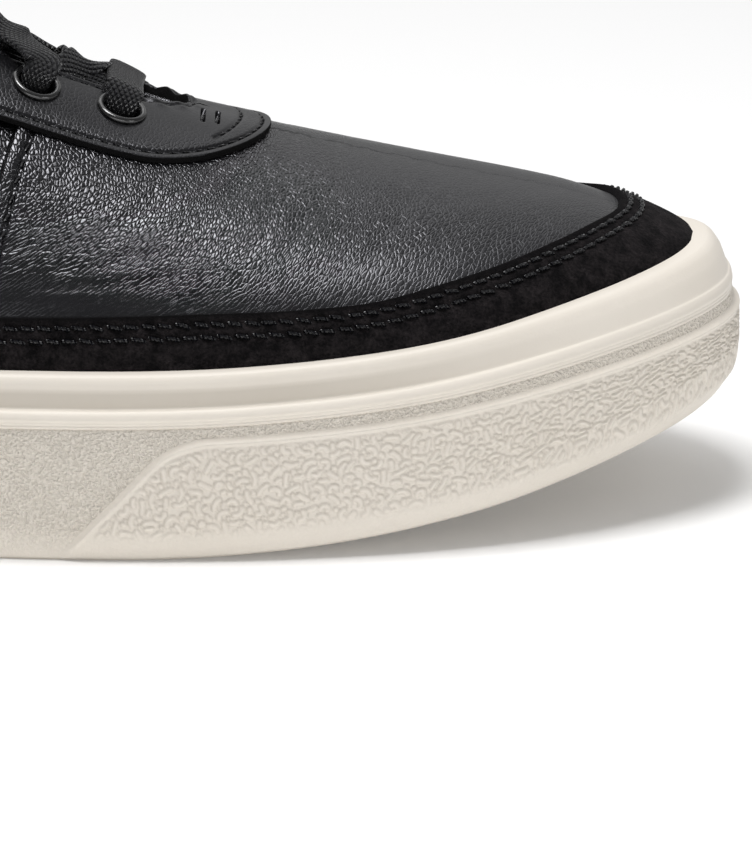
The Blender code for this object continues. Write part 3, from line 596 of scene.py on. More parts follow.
def profileRows():  # the table drawn out in close steps and softened as by a mould's small radii
    at = soleSide[:, 0] * sole["lip"] + soleSide[:, 1]
    length = running(np.hypot(np.diff(at), np.diff(soleSide[:, 2])))
    t = np.arange(0, length[-1], sole["fine"])
    rows = np.stack([np.interp(t, length, column) for column in soleSide.T], axis=-1)
    blur = sole["blur"]
    reach = np.arange(-blur, blur + 1)
    kernel = np.exp(-(reach / sole["soften"]) ** 2)
    padded = np.pad(rows, ((blur, blur), (0, 0)), mode="edge")
    weights = zip(reach, kernel / kernel.sum())
    soft = sum(padded[blur + k:len(rows) + blur + k] * weight for k, weight in weights)
    soft[0], soft[-1] = rows[0], rows[-1]
    return t, soft


def outlineTurns(first, count):  # angles from one place on the plan to the toe tip, evenly spaced along its edge
    turns = np.linspace(first, math.pi / 2, 20001)
    x, width = planAt(turns)
    length = running(np.hypot(np.diff(x), np.diff(width)))
    return np.interp(np.linspace(0, length[-1], count), length, turns), length[-1]


def sideAt(turn, side, row, raised=0.0):  # the sole's side: plan drawn in by the row's inset, at its height
    x = shoe["half"] * np.sin(turn)
    toe = ease(x, sole["toeFrom"], shoe["half"])
    base = row[..., 0] * smoothLine(lipLine, 1, x) + (1 - row[..., 0]) * groundAt(x)
    px, middle, width = insetPlan(turn, row[..., 2] + row[..., 3] * toe - raised)
    return np.stack([px, middle + side * width, base + row[..., 1] + row[..., 4] * toe], axis=-1)


def buildSole():
    rows = profileRows()[1]
    fromLip, height = rows[:, 0] > 0.99, rows[:, 1]
    fineZone = fromLip & ((height > sole["ribs"][0]) & (height < sole["ribs"][1]) | (height > sole["lipEdge"]))
    keep = fineZone | (np.arange(len(rows)) % sole["coarse"] == 0)
    keep[-1] = True
    rows, fromLip, height = rows[keep], fromLip[keep], height[keep]
    recess = ease(height, *sole["bandLow"]) * (1 - ease(height, *sole["bandHigh"])) * fromLip
    turn = outlineTurns(-math.pi / 2, sole["columns"])[0]
    share = np.linspace(0, 1, sole["underRows"] + 1)[:-1][None, :, None]
    halves, grits = [], []
    for side in (-1, 1):
        wall = sideAt(turn[:, None], side, rows[None])
        low = wallRing(turn, side, shoe["gap"], floorAt(skinX(turn)))
        edge = wall[:, 0]
        middle = np.stack([edge[:, 0], insetPlan(turn, sole["keel"])[1], edge[:, 2]], axis=-1)
        under = middle[:, None] + (edge - middle)[:, None] * share
        grit = np.zeros((len(turn), under.shape[1] + wall.shape[1] + 1, 3))  # sandblast, tread, shade
        grit[:, :under.shape[1] - 1, 1] = 1.0
        grit[:, under.shape[1]:-1, 0] = rows[:, 5]
        # painted shade on the floor of the band's recess, fading out towards the toe
        grit[:, under.shape[1]:-1, 2] = sole["shade"] * recess * (1 - ease(wall[..., 0], *sole["shadeFade"]))
        halves.append(np.concatenate([under, wall, low[:, None]], axis=1))
        grits.append(grit)
    points, grit = (np.concatenate([half[0], half[1][:, ::-1]], axis=1) for half in (halves, grits))
    return addPiece("cupsole_moulded", points, gridFaces(*points.shape[:2], wrap=True), [creamRubber],
                    "cream_rubber", ["cupsole"], vectors={"grit": grit})


# the panel's limits (low and high in the wall, rear end and its slant, below the lip), its rim and its worms
bumper = dict(start=0.018, rear=0.025, slant=0.97, below=0.01185, corner=0.005, low=0.0004, high=0.0104,
              rise=0.0007, edge=(-0.0005, 0.0005), sink=0.0004, sunk=(-0.0009, -0.0004), fade=(0.0005, 0.0050),
              rim=0.00036, rimAt=0.0005, rimWidth=0.00036, face=(0.0011, 0.0018), faceLow=(0.0030, 0.0065),
              sand=0.10, worm=0.00034, wide=0.00050, long=0.00120, apart=0.00015, tries=60000, cell=0.00027,
              seed=7)


def wormPattern(columns, rows):
    # short bent strokes dropped one by one where there is room, long ones first, then dots
    rng = np.random.default_rng(bumper["seed"])
    field, groove, taken = np.zeros((3, columns, rows))
    cell, tries = bumper["cell"], bumper["tries"]
    reach = int(bumper["long"] / cell) + 4
    around = np.arange(-reach, reach + 1)
    spine = np.linspace(-1, 1, 9)
    share = 1 - np.arange(tries) / tries
    lengths, halves = bumper["long"] / cell * share ** 1.6, bumper["wide"] / cell * (0.72 + 0.28 * share)
    middles = rng.uniform(reach, (columns - reach - 1, rows - reach - 1), (tries, 2)).astype(int)
    angles, bends = rng.uniform(0, math.pi, tries), rng.normal(0, 0.9, tries)
    for (column, row), angle, bend, length, half in zip(middles, angles, bends, lengths, halves):
        if taken[column, row] > 0:
            continue
        heading = angle + bend * spine
        px, py = (np.cumsum(part) * length / 4.5 for part in (np.cos(heading), np.sin(heading)))
        px, py = px - px.mean(), py - py.mean()
        square = (around[:, None, None] - px) ** 2 + (around[None, :, None] - py) ** 2
        apart = np.sqrt(square.min(axis=-1))
        window = np.s_[column - reach:column + reach + 1, row - reach:row + reach + 1]
        if (taken[window] * (apart < half)).max() == 0:
            field[window] = np.maximum(field[window], np.sqrt(np.clip(1 - (apart / half) ** 2, 0.0, 1.0)))
            # a ring round each stroke, painted as shade in the gap beside it
            beside = 1 - ease(apart - half, 0.0, bumper["apart"] * 1.8 / cell)
            groove[window] = np.maximum(groove[window], beside)
            taken[window] = np.maximum(taken[window], apart < half + bumper["apart"] / cell)
    return field, groove * (1 - field)


def buildBumper():  # low panel round the toe, its edge a soft rim, its face covered with little worms
    t, rows = profileRows()
    high = rows[:, 0] * sole["lip"] + rows[:, 1]
    span = t[(high > bumper["low"]) & (high < sole["lip"] - bumper["high"])]
    steps = np.arange(span[0], span[-1], bumper["cell"])
    rows = np.stack([np.interp(steps, t, column) for column in rows.T], axis=-1)
    first = math.asin(bumper["start"] / shoe["half"])
    count = int(outlineTurns(first, 2)[1] / bumper["cell"])
    half = outlineTurns(first, count)[0]
    turn = np.concatenate([half, half[-2::-1]])[:, None]
    side = np.where(np.arange(len(turn)) < count, -1.0, 1.0)[:, None]
    flat = sideAt(turn, side, rows[None])
    x, z = shoe["half"] * np.sin(turn) + 0 * flat[..., 0], flat[..., 2]
    above = z - groundAt(x)
    fromRear = (x - bumper["rear"] - bumper["slant"] * above) / math.hypot(1, bumper["slant"])
    fromTop = smoothLine(lipLine, 1, x) - bumper["below"] - z
    corner = bumper["corner"]  # the two limits meet in a rounded corner
    share = np.clip(0.5 + (fromTop - fromRear) / (2 * corner), 0, 1)
    inside = fromTop + (fromRear - fromTop) * share - corner * share * (1 - share)
    worms, grooveShade = wormPattern(*inside.shape)
    face = ease(inside, *bumper["face"]) * ease(above, *bumper["faceLow"])
    fade = ease(above, *bumper["fade"])
    raised = bumper["rise"] * (0.3 + 0.7 * fade) * ease(inside, *bumper["edge"])
    raised = raised - bumper["sink"] * (1 - ease(inside, *bumper["sunk"]))
    raised = raised + bumper["rim"] * fade * bell(inside, bumper["rimAt"], bumper["rimWidth"])
    raised = raised + bumper["worm"] * worms * face
    # the gaps round the worms get painted shade through the grit's third value
    return addPiece("toe_bumper", sideAt(turn, side, rows[None], raised), gridFaces(*inside.shape)[..., ::-1],
                    [creamRubber], "cream_rubber", vectors={"grit": triples(bumper["sand"], 0.0, face * grooveShade)},
                    closed=False)


buildSole()
buildBumper()

eyelets = dict(rows=6, first=0.0356, pitch=0.0150, margin=0.0063, outer=0.0046, bore=0.0033, rise=0.0008,
               pit=0.0036, pitEdge=(0.0031, 0.0040), steps=48)


def eyeletPlaces():
    x = eyelets["first"] - eyelets["pitch"] * np.arange(eyelets["rows"])
    return x, smoothLine(throatLine, 1, x) + eyelets["margin"]


def onSkin(x, reach, lift):  # places given by x, signed reach from the ridge and lift
    turn, side = turnAt(x), np.where(reach < 0, -1.0, 1.0)
    across = side * acrossAt(turn, side, np.abs(reach), False)
    return skinAt(turn, across, lift), normalAt(turn, across)


def holeDepth(points):  # the punched holes: a pit round each eyelet's middle, its rim under the rolled ring
    x, reach = eyeletPlaces()
    middles = np.concatenate([onSkin(x, side * reach, 0.0)[0] for side in (-1, 1)])
    return eyelets["pit"] * (1 - ease(distanceTo(points, middles), *eyelets["pitEdge"]))


# Creases, listed in mm: x, height over the skin, half length, half width, depth; slant in degrees
creases = np.array([
    (8, 20, 16, 1.6, 0.16, 8), (22, 14, 20, 1.4, 0.14, 5), (34, 19, 14, 1.8, 0.10, 14),
    (2, 28, 14, 2.0, 0.16, 16), (40, 30, 12, 2.2, 0.10, 38), (56, 36, 14, 2.6, 0.10, 52),
    (70, 30, 13, 2.4, 0.08, 60), (84, 26, 12, 2.2, 0.06, 66), (-14, 24, 16, 2.2, 0.20, 20),
    (-30, 34, 18, 2.8, 0.24, 34), (-52, 28, 16, 3.0, 0.18, -10), (-84, 26, 18, 3.4, 0.20, 6),
    (-110, 30, 14, 3.0, 0.16, -8)])
# the collar's puff with its sewn line and its rear end, the pad inside, the rim; the grain is fainter over the
# toes and low down, by shares that come in over the given lengths
upper = dict(columns=400, rows=84, rimRows=7, innerRows=20, puff=0.0009, puffAt=(0.0085, 0.0062),
             puffSewn=(0.0170, 0.0016), puffRear=(-0.1405, -0.1350), padReach=0.30, rimHigh=0.45,
             creaseFoot=(0.006, 0.012), otherGrain=431, toeThin=0.45, toeAlong=(0.050, 0.105),
             toeOver=(0.016, 0.032), lowThin=0.62, lowOver=(0.011, 0.024))
# place and half width of the stitched groove and of the margin, ends of the lap, fade of the step behind it
seam = dict(line=0.0030, lineWide=0.00045, groove=0.00050, margin=0.00018, marginAt=(0.0013, 0.0008),
            top=(0.28, 0.36), foot=(0.86, 0.94), step=(-0.0002, 0.0005), fade=(0.020, 0.080), sewn=(0.36, 0.90),
            sunk=0.00035)


def creaseLift(x, over):  # each crease is a trough with a low ridge on both sides, fading out at its ends
    lift = np.zeros_like(x)
    for at, height, half, width, depth, slant in creases:
        angle = math.radians(slant)
        dx, dv = x * 1000 - at, over * 1000 - height
        a = (dx * math.cos(angle) + dv * math.sin(angle)) / half
        b = (dv * math.cos(angle) - dx * math.sin(angle)) / width
        lift -= depth * 1e-3 * (1 - 1.3 * b * b) * np.exp(-b * b - a * a)
    return lift


def seamTurn(x, across):  # sections lean back towards the lip, most of all at the seam
    lean = shoe["seamLean"] * np.clip(across - shoe["seamFrom"], 0.0, 1.0)
    return turnAt(x - lean * bell(x, shoe["seamTop"], shoe["seamSpread"]))


def seamLift(x, across):  # vamp laps over quarter: raised margin, stitched groove, lower quarter behind
    t = np.abs(across)
    zone = ease(t, *seam["top"]) * (1 - ease(t, *seam["foot"]))
    s = x - shoe["seamTop"]
    behind = (1 - ease(-x, *seam["fade"])) * (1 - ease(s, *seam["step"]))
    margin = seam["margin"] * bell(s, *seam["marginAt"])
    groove = seam["groove"] * bell(s, seam["line"], seam["lineWide"])
    return zone * (margin - groove - shoe["vampStep"] * behind)


def upperColumns():  # even columns, with close ones at the throat's front, the collar's rear and the seam
    throat = shoe["throatFront"] - np.linspace(0, 1, 14) ** 2 * shoe["throatRound"]
    collar = shoe["collarRear"] + np.linspace(0, 1, 12) ** 2 * 0.006
    places = np.concatenate([throat, collar, shoe["seamTop"] + np.linspace(-0.0016, 0.0048, 30)])
    even = skinX(np.radians(np.linspace(-90, 90, upper["columns"])))
    apart = np.abs(even[:, None] - places).min(axis=1)
    return np.unique(np.concatenate([even[(apart > 0.00035) | (np.abs(even) > 0.1345)], places]))


def upperHalf(x, side):  # one side from its foot over the skin, the rolled rim and the lining back to the foot
    edge = openingEdge(turnAt(x), side)
    isOpen = edge > 0
    x, edge = x[:, None], edge[:, None]
    across = edge + (1 - edge) * np.linspace(1.0, 0.0, upper["rows"])
    turns = seamTurn(x, across)
    turns[0], turns[-1] = -math.pi / 2, math.pi / 2
    bare = lastAt(turns, side * across)
    over = lengthsOver(bare, 1)
    fromTop = over[:, -1:] - over
    behind = (1 - ease(x, shoe["collarFrom"], shoe["collarTo"])) * (edge > 0)
    puff = upper["puff"] * behind * ease(x, *upper["puffRear"])
    puff = puff * (bell(fromTop, *upper["puffAt"]) - 0.5 * bell(fromTop, *upper["puffSewn"]))
    lift = seamLift(x, across) + creaseLift(bare[..., 0], over) * ease(over, *upper["creaseFoot"]) + puff
    outer = skinAt(turns, side * across, lift - holeDepth(bare))
    near = np.clip(1 - (across - edge) / upper["padReach"], 0.0, 1.0)
    pad = (shoe["collarPad"] - shoe["wall"]) * near ** 0.6 * behind
    pad = pad * ease(x, shoe["collarRear"] - 0.001, shoe["collarRear"] + 0.004)
    pick = np.round(np.linspace(upper["rows"] - 1, 0, upper["innerRows"])).astype(int)
    inner = lastAt(turns, side * across, -shoe["wall"] - pad)[:, pick]
    top, under = outer[:, -1:], inner[:, :1]
    high = upper["rimHigh"] * np.linalg.norm(top - under, axis=-1, keepdims=True) * unit(top - outer[:, -3:-2])
    rim = np.linspace(0, math.pi, upper["rimRows"] + 2)[1:-1][None, :, None]
    roll = (top + under) / 2 + (top - under) / 2 * np.cos(rim) + high * np.sin(rim)
    foot = turns[:, 0]
    low = floorAt(skinX(foot)) + shoe["gap"]
    rings = [wallRing(foot, side, out, low)[:, None] for out in (0.0, -shoe["wall"])]
    points = np.concatenate([rings[0], outer, roll, inner, rings[1]], axis=1)
    u, v = bare[..., 0].mean(axis=1, keepdims=True) * 1000, over * 1000
    thin = 1 - upper["toeThin"] * ease(bare[..., 0], *upper["toeAlong"]) * ease(over, *upper["toeOver"])
    thin = thin * (1 - upper["lowThin"] * (1 - ease(over, *upper["lowOver"])))
    skin = 1 + upper["rows"]
    flow = np.zeros(points.shape)
    flow[:, 1:skin] = triples(grainPlaces(u, v) + (0 if side < 0 else upper["otherGrain"]), v, thin)
    flow[:, skin:] = triples(u, v[:, -1:] + np.arange(points.shape[1] - skin) * 1.5, 0.5)
    return points, flow, isOpen


def buildUpper():
    halves = [upperHalf(upperColumns(), side) for side in (-1, 1)]
    columns, count = halves[0][0].shape[:2]
    quads = gridFaces(columns, count, wrap=True)
    rowKind = np.zeros(quads.shape[:2], dtype=int)
    rowKind[:, 1 + upper["rows"] + upper["rimRows"] - 2:-1] = 1  # lining from the rim inwards
    faces, which = [], []
    for number, (_, _, isOpen) in enumerate(halves):
        keep = np.ones(quads.shape[:2], dtype=bool)
        shut = ~(isOpen[:-1] | isOpen[1:])  # no rim where the upper is closed over the foot
        keep[np.ix_(shut, np.arange(upper["rows"], upper["rows"] + upper["rimRows"] + 1))] = False
        faces.append(quads[keep] + number * columns * count)
        which.append(rowKind[keep])
    points, flow = (np.concatenate([half[k] for half in halves]) for k in (0, 1))
    return addPiece("upper_leather", points, np.concatenate(faces), [vampLeather, lining], "black_leather",
                    ["upper"], which=np.concatenate(which), vectors={"flow": flow})


buildUpper()

stitches = dict(rings=7, sides=6, rise=0.75, sink=0.3, slant=0.55, sway=0.0012)
# pitch, length and thickness of the stitches along each kind of line
sewing = dict(guard=(0.0030, 0.0032, 0.00076), edge=(0.0025, 0.0024, 0.00036), tack=(0.0080, 0.0060, 0.00085),
              front=(0.0022, 0.0019, 0.00040), seam=(0.0037, 0.0027, 0.00050))
sewn = []


def stitchRow(path, normals, pitch, length, thick):
    # each stitch is a thread bent over the surface: a tube that rises as a half sine and narrows at its ends
    run = lengthsOver(path, 0)
    count = max(1, int((run[-1] - length) / pitch))
    rng = np.random.default_rng(count)
    begin = (run[-1] - count * pitch + pitch - length) / 2 + np.arange(count) * pitch
    begin = begin + rng.normal(0, 0.03, count) * pitch
    tau = np.linspace(0, 1, stitches["rings"])
    at = begin[:, None] + length * tau
    centre, normal = (np.stack([np.interp(at, run, line[:, k]) for k in range(3)], axis=-1)
                      for line in (path, normals))
    normal = unit(normal)
    over = np.cross(unit(np.gradient(centre, axis=1)), normal)
    slant = (stitches["slant"] + rng.normal(0, 0.15, count))[:, None] * (tau - 0.5)
    centre = centre + over * (slant * stitches["sway"])[..., None]
    centre = centre + normal * (thick * (stitches["rise"] * np.sin(np.pi * tau) - stitches["sink"]))[:, None]
    radius = thick / 2 * np.sqrt(np.clip(1 - (2 * tau - 1) ** 6, 0.0, 1.0)) + 2e-5
    angle = np.linspace(0, 2 * np.pi, stitches["sides"], endpoint=False)
    ring = over[:, :, None] * np.cos(angle)[:, None] + normal[:, :, None] * np.sin(angle)[:, None]
    points = centre[:, :, None] + ring * radius[:, None, None]
    sewn.append((points, triples(at[..., None] * 1000, angle / (2 * np.pi), 0.0)))


def buildStitches(name, slot):
    points, flow = (np.concatenate([part[k] for part in sewn]) for k in (0, 1))
    sewn.clear()
    faces = tubeFaces(stitches["rings"], stitches["sides"], len(points))
    return addPiece(name, points, faces, [bondedThread], slot, vectors={"flow": flow})


guard = dict(columns=460, rows=44, sewnAt=(0.0021, 0.0043), dip=0.00030, dipWidth=0.0006, round=0.0006)


def suedeTurn(phi):  # places along the suede's top edge by an angle from heel to toe
    middle, half = (shoe["suedeTip"] + shoe["suedeHeel"]) / 2, (shoe["suedeTip"] - shoe["suedeHeel"]) / 2
    return turnAt(middle + half * np.sin(phi))


def guardPlaces(phi, share, side):  # from the suede's top edge (0) to the lip (1), fanned out round toe and heel
    edgeTurn = suedeTurn(phi)
    edge = suedeEdge(edgeTurn, side) * (np.abs(phi) < math.pi / 2 - 1e-6)
    low = roundEnd(np.abs(phi), math.radians(88.8), math.pi / 2)
    turn = edgeTurn[:, None] * (1 - share) + phi[:, None] * share
    return turn, side * (edge[:, None] * (1 - share) + low[:, None] * share)


def sewnLine(distance):  # a line that keeps its distance under the edge, even and rounded off at the toe
    turn, across = bothSides(suedeTurn(np.linspace(-math.pi / 2, math.pi / 2, 900)), suedeEdge, (0, -1))
    run = lengthsOver(lastAt(turn, across), 0)
    even = np.linspace(0, run[-1], 1400)
    lines = insideEdge(np.interp(even, run, turn), np.interp(even, run, across), -distance)
    kernel = np.exp(-(np.arange(-24, 25) / 10) ** 2)
    turn, across = (np.convolve(np.pad(line, 24, mode="edge"), kernel / kernel.sum(), "valid") for line in lines)
    return lastAt(turn, across, shoe["gap"] + shoe["overlay"]), normalAt(turn, across)


def buildGuard():  # suede foxing round the whole shoe: one layer over the last, rolled down at its upper edge
    lift = shoe["gap"] + shoe["overlay"]
    phi = np.linspace(-math.pi / 2, math.pi / 2, guard["columns"])
    share = np.unique(np.concatenate([np.linspace(0, 1, guard["rows"]), [0.006, 0.012, 0.035]]))[None]
    lines = [sewnLine(distance) for distance in guard["sewnAt"]]
    for path, up in lines:
        stitchRow(path - up * guard["dip"] * 0.7, up, *sewing["guard"])
    grids, flows = [], []
    for side in (-1, 1):
        turn, across = guardPlaces(phi, share + 0 * phi[:, None], side)
        flat, normal = lastAt(turn, across, lift), normalAt(turn, across)
        down = lengthsOver(flat, 1)
        drop = (lift + 0.0001) * (1 - np.sqrt(1 - (1 - np.clip(down / guard["round"], 0, 1)) ** 2))
        dips = sum(guard["dip"] * bell(distanceTo(flat, path), 0.0, guard["dipWidth"]) for path, up in lines)
        grids.append(flat - normal * (drop + dips)[..., None])
        # mm below the top edge, where the suede gets painted shade
        flows.append(triples(down * 1000, 0.0, 0.0))
    addPiece("mudguard_suede", *joinSides(grids, 0), [buffedSuede], "black_suede", ["mudguard"],
             vectors={"flow": np.concatenate(flows)}, closed=False)
    return buildStitches("mudguard_stitches", "black_suede")


buildGuard()

stay = dict(rows=64, columns=220, stitchIn=0.0016, throatIn=0.0012, puckerIn=0.0030, dip=0.00042, dipWidth=0.0004,
            round=0.00026, cut=0.00017, sunk=0.0001, arc=0.21, arcAt=0.0566, arcBow=0.0045, otherGrain=311,
            pinch=0.0052, pinchLean=0.7, pinchAt=(0.0009, 0.0016), pinchFrom=(0.0375, 0.0410),
            pinchLift=(0.0004, 0.0009), pucker=0.0014)  # pinch: folds at the throat's end, outer and inner side
# x and start of each bar tack, its length, and the slot that it lies in
tacks = dict(places=((0.0499, 0.0022), (0.0525, 0.0016)), long=0.0064, deep=0.0011, slot=(0.00022, 0.00055))


def stayFront(count):  # stations round the front end
    swing = np.sin(np.linspace(0, math.pi / 2, count))
    return shoe["stayRound"] + (shoe["stayFront"] - shoe["stayRound"]) * swing


def stayOutline():  # the eyestay's lower edge from the rear of the outer side round the front to the inner side
    x = np.concatenate([np.linspace(shoe["stayRear"], shoe["stayRound"], 300)[:-1], stayFront(260)])
    return bothSides(turnAt(x), stayEdge)


def throatOutline():
    step = np.linspace(0, 1, 120)[::-1] ** 2 * shoe["throatRound"]
    x = np.concatenate([np.linspace(shoe["stayRear"], shoe["throatFront"] - shoe["throatRound"], 220)[:-1],
                        shoe["throatFront"] - step])
    return bothSides(turnAt(x), openingEdge)


def sewnOn(turn, across, kind):  # stitches sunk into the eyestay along a line
    path, normal = skinAt(turn, across, shoe["overlay"]), normalAt(turn, across)
    stitchRow(path - normal * stay["dip"], normal, *sewing[kind])
    return path


def sewStay(rim, throat):  # its lines of stitches, and two bar tacks in slots in front of the throat
    edges = ((rim, stay["stitchIn"]), (throat, -stay["throatIn"]))
    lines = [sewnOn(*insideEdge(*outline, distance), "edge") for outline, distance in edges]
    slots = []
    for place, start in tacks["places"]:
        path, normal = onSkin(np.full(40, place), -np.linspace(start, start + tacks["long"], 40), shoe["overlay"])
        slots.append(path[4:-4])
        stitchRow(path - normal * tacks["deep"], normal, *sewing["tack"])
    arc = np.linspace(-stay["arc"], stay["arc"], 60)
    lines.append(sewnOn(turnAt(stay["arcAt"] - stay["arcBow"] * (arc / stay["arc"]) ** 2), arc, "front"))
    return lines, slots


def sewSeam():  # between vamp and quarter
    across = np.linspace(*seam["sewn"], 160)
    turn = seamTurn(shoe["seamTop"] + seam["line"] + 0 * across, across)
    for side in (-1, 1):
        stitchRow(skinAt(turn, side * across, -seam["sunk"]), normalAt(turn, side * across), *sewing["seam"])


def stayColumns():
    front, rear, throat = shoe["stayFront"], shoe["stayRear"], shoe["throatFront"]
    return np.unique(np.concatenate([
        np.linspace(rear, shoe["stayRound"], stay["columns"]), stayFront(90),
        rear + np.array([0.0001, 0.0003, 0.0006]), front - np.array([0.00005, 0.0002, 0.0005]),
        throat - np.linspace(0, 1, 24) ** 2 * shoe["throatRound"], np.linspace(0.0488, 0.0536, 34)]))


def buildStay():  # facing of the eyelets: a cut layer with square edges, height from the distance to its outline
    lift, sunk = shoe["overlay"], stay["sunk"]
    outlines = stayOutline(), throatOutline()
    rim, throat = (lastAt(*outline) for outline in outlines)
    lines, slots = sewStay(*outlines)
    pucker = lastAt(*insideEdge(*outlines[0], stay["puckerIn"]))
    x = stayColumns()
    turn = turnAt(x)
    q = np.concatenate([np.linspace(0, 1, stay["rows"]), [0.006, 0.013, 0.03, 0.97, 0.987, 0.994]])
    grids, flows, cuts = [], [], []
    for side, pinchLift, grain in zip((-1, 1), stay["pinchLift"], (0, stay["otherGrain"])):
        inside = openingEdge(turn, side) * (x < shoe["throatFront"] - 1e-6)
        outside = np.maximum(stayEdge(turn, side) * (x < shoe["stayFront"] - 1e-7), inside)
        across = side * (outside[:, None] + (inside - outside)[:, None] * np.unique(q))
        turns = turn[:, None] + 0 * across
        bare, normal = lastAt(turns, across), normalAt(turns, across)
        raised = bare + normal * lift
        fromThroat = distanceTo(bare, throat)
        ends = np.minimum(np.minimum(distanceTo(bare, rim), fromThroat), (x - shoe["stayRear"])[:, None])
        ends[:, 0] = 0.0
        ends[:, -1] = np.where(inside > 0, 0.0, ends[:, -1])
        rise = np.sqrt(np.clip(1 - (1 - np.clip(ends / stay["round"], 0, 1)) ** 3, 0, 1))
        dips = sum(stay["dip"] * bell(distanceTo(raised, path), 0.0, stay["dipWidth"]) for path in lines)
        dips = dips + sum(tacks["deep"] * (1 - ease(distanceTo(raised, path), *tacks["slot"])) for path in slots)
        wave = (bare[..., 0] - stay["pinchLean"] * np.abs(bare[..., 1])) / stay["pinch"]
        pinch = 0.5 - 0.5 * np.cos(2 * math.pi * wave)
        pinch = pinch * bell(fromThroat, *stay["pinchAt"]) * ease(bare[..., 0], *stay["pinchFrom"])
        high = (lift + sunk) * rise - sunk - dips * rise - holeDepth(bare) + pinchLift * pinch * rise
        grids.append(bare + normal * high[..., None])
        puckers = bell(distanceTo(bare, pucker), 0.0, stay["pucker"])
        amount = 0.75 - 0.45 * ease(bare[..., 0], 0.010, 0.040) + 0.5 * puckers
        flows.append(triples(bare[..., 0] * 1000 + grain, lengthsOver(bare, 1) * 1000, amount))
        cuts.append(ends.ravel()[gridFaces(*ends.shape)].mean(axis=-1) < stay["cut"])
    addPiece("eyestay_leather", *joinSides(grids, 1), [stayLeather, rawEdge], "black_leather", ["eyestay"],
             which=np.concatenate(cuts), vectors={"flow": np.concatenate(flows)}, closed=False)
    sewSeam()
    return buildStitches("eyestay_stitches", "black_leather")


buildStay()


def buildEyelets():  # each a profile turned about the skin's normal: barrel, rolled top, edge on the leather
    x, reach = eyeletPlaces()
    bore, outer, rise = eyelets["bore"], eyelets["outer"], eyelets["rise"]
    roll = np.linspace(math.pi, 0.0, 13)
    rolled = (bore + outer) / 2 + (outer - bore) / 2 * np.cos(roll)
    radius = np.concatenate([[bore, bore], rolled, [outer - 0.0002]])
    height = np.concatenate([[-0.0040, -0.0010], rise * np.sin(roll) ** 0.8, [-0.0003]])
    angle = np.linspace(0, 2 * math.pi, eyelets["steps"], endpoint=False)
    points = []
    for side in (-1, 1):
        centre, normal = onSkin(x, side * reach, shoe["overlay"])
        ahead = unit(np.cross(np.array([0.0, 1.0, 0.0]), normal))
        across = np.cross(normal, ahead)
        ring = ahead[:, None] * np.cos(angle)[:, None] + across[:, None] * np.sin(angle)[:, None]
        points.append(centre[:, None, None] + ring[:, None] * radius[:, None, None]
                      + normal[:, None, None] * height[:, None, None])
    points = np.concatenate(points)
    faces = tubeFaces(len(radius), eyelets["steps"], len(points))
    names = [f"eyelet_{where}_{row + 1}" for where in ("outer", "inner") for row in range(eyelets["rows"])]
    return addPiece("eyelets", points, faces[..., ::-1], [enamel], "black_metal", names, closed=False)


lace = dict(width=0.0072, thick=0.0017, tight=0.0052, bunch=1.35, steps=9, around=22, under=-0.0031)


def laceHalf(side):
    # half of the lace from the middle of the front bar up: x, signed reach, lift, width share, slant of its face
    x, reach = eyeletPlaces()
    places = [(x[0], 0.0, 2.0e-3, 1, 0), (x[0], side * 0.0040, 2.3e-3, 1, 0)]
    hand = side
    for row in range(eyelets["rows"] - 1):
        hole, far = reach[row], reach[row + 1]
        if row == 0:  # the bar goes down through the lowest eyelet and comes up in the throat
            dive = [(0.0040, 3.0e-3, 1), (0.0023, 1.6e-3, 0.6), (0.0018, -0.8e-3, 0.3),
                    (0.0030, lace["under"], 0.5)]
            crown = 1.45e-3 + 0.65e-3 * side
            strand = [(0.0052, -1.2e-3), (0.0027, crown - 0.9e-3), (0.0, crown), (-0.0027, 1.2e-3),
                      (-0.0052, -0.6e-3)]
        else:  # a strand comes up through an eyelet and crosses over to dive under the far side
            top = 3.5e-3 if hand < 0 else 2.3e-3
            dive = [(0.0014, -1.4e-3, 0.2), (0.0019, 1.6e-3, 0.3), (0.0040, top, 1)]
            strand = [(0.0036, top), (0.0, 2.8e-3 + 0.75e-3 * side), (-0.0034, 0.8e-3), (-0.0058, -2.5e-3)]
        places += [(x[row], hand * (hole - back), lift, share, 0) for back, lift, share in dive]
        slant = hand * (x[row] - x[row + 1]) / (hole + far)
        for at, lift in strand:
            share = (hole - at) / (hole + far)
            places.append((x[row] + (x[row + 1] - x[row]) * share, hand * at, lift, 1, slant))
        hand = -hand
        places.append((x[row + 1], hand * (far - 0.0030), lace["under"], 0.7, 0))
    ends = [(0.0006, -1.4e-3), (0.0004, 0.3e-3)]
    return places + [(x[-1], hand * (reach[-1] - back), lift, 0.2, 0) for back, lift in ends]


def throughPoints(values, steps):  # a smooth line through given rows, each row's slope from its neighbours
    padded = np.concatenate([values[:1], values, values[-1:]])
    p0, p1, p2, p3 = padded[:-3, None], padded[1:-2, None], padded[2:-1, None], padded[3:, None]
    t = np.linspace(0, 1, steps, endpoint=False)[None, :, None]
    line = p1 + 0.5 * t * (p2 - p0 + t * (2 * p0 - 5 * p1 + 4 * p2 - p3 + t * (3 * (p1 - p2) + p3 - p0)))
    return np.concatenate([line.reshape(-1, values.shape[1]), values[-1:]])


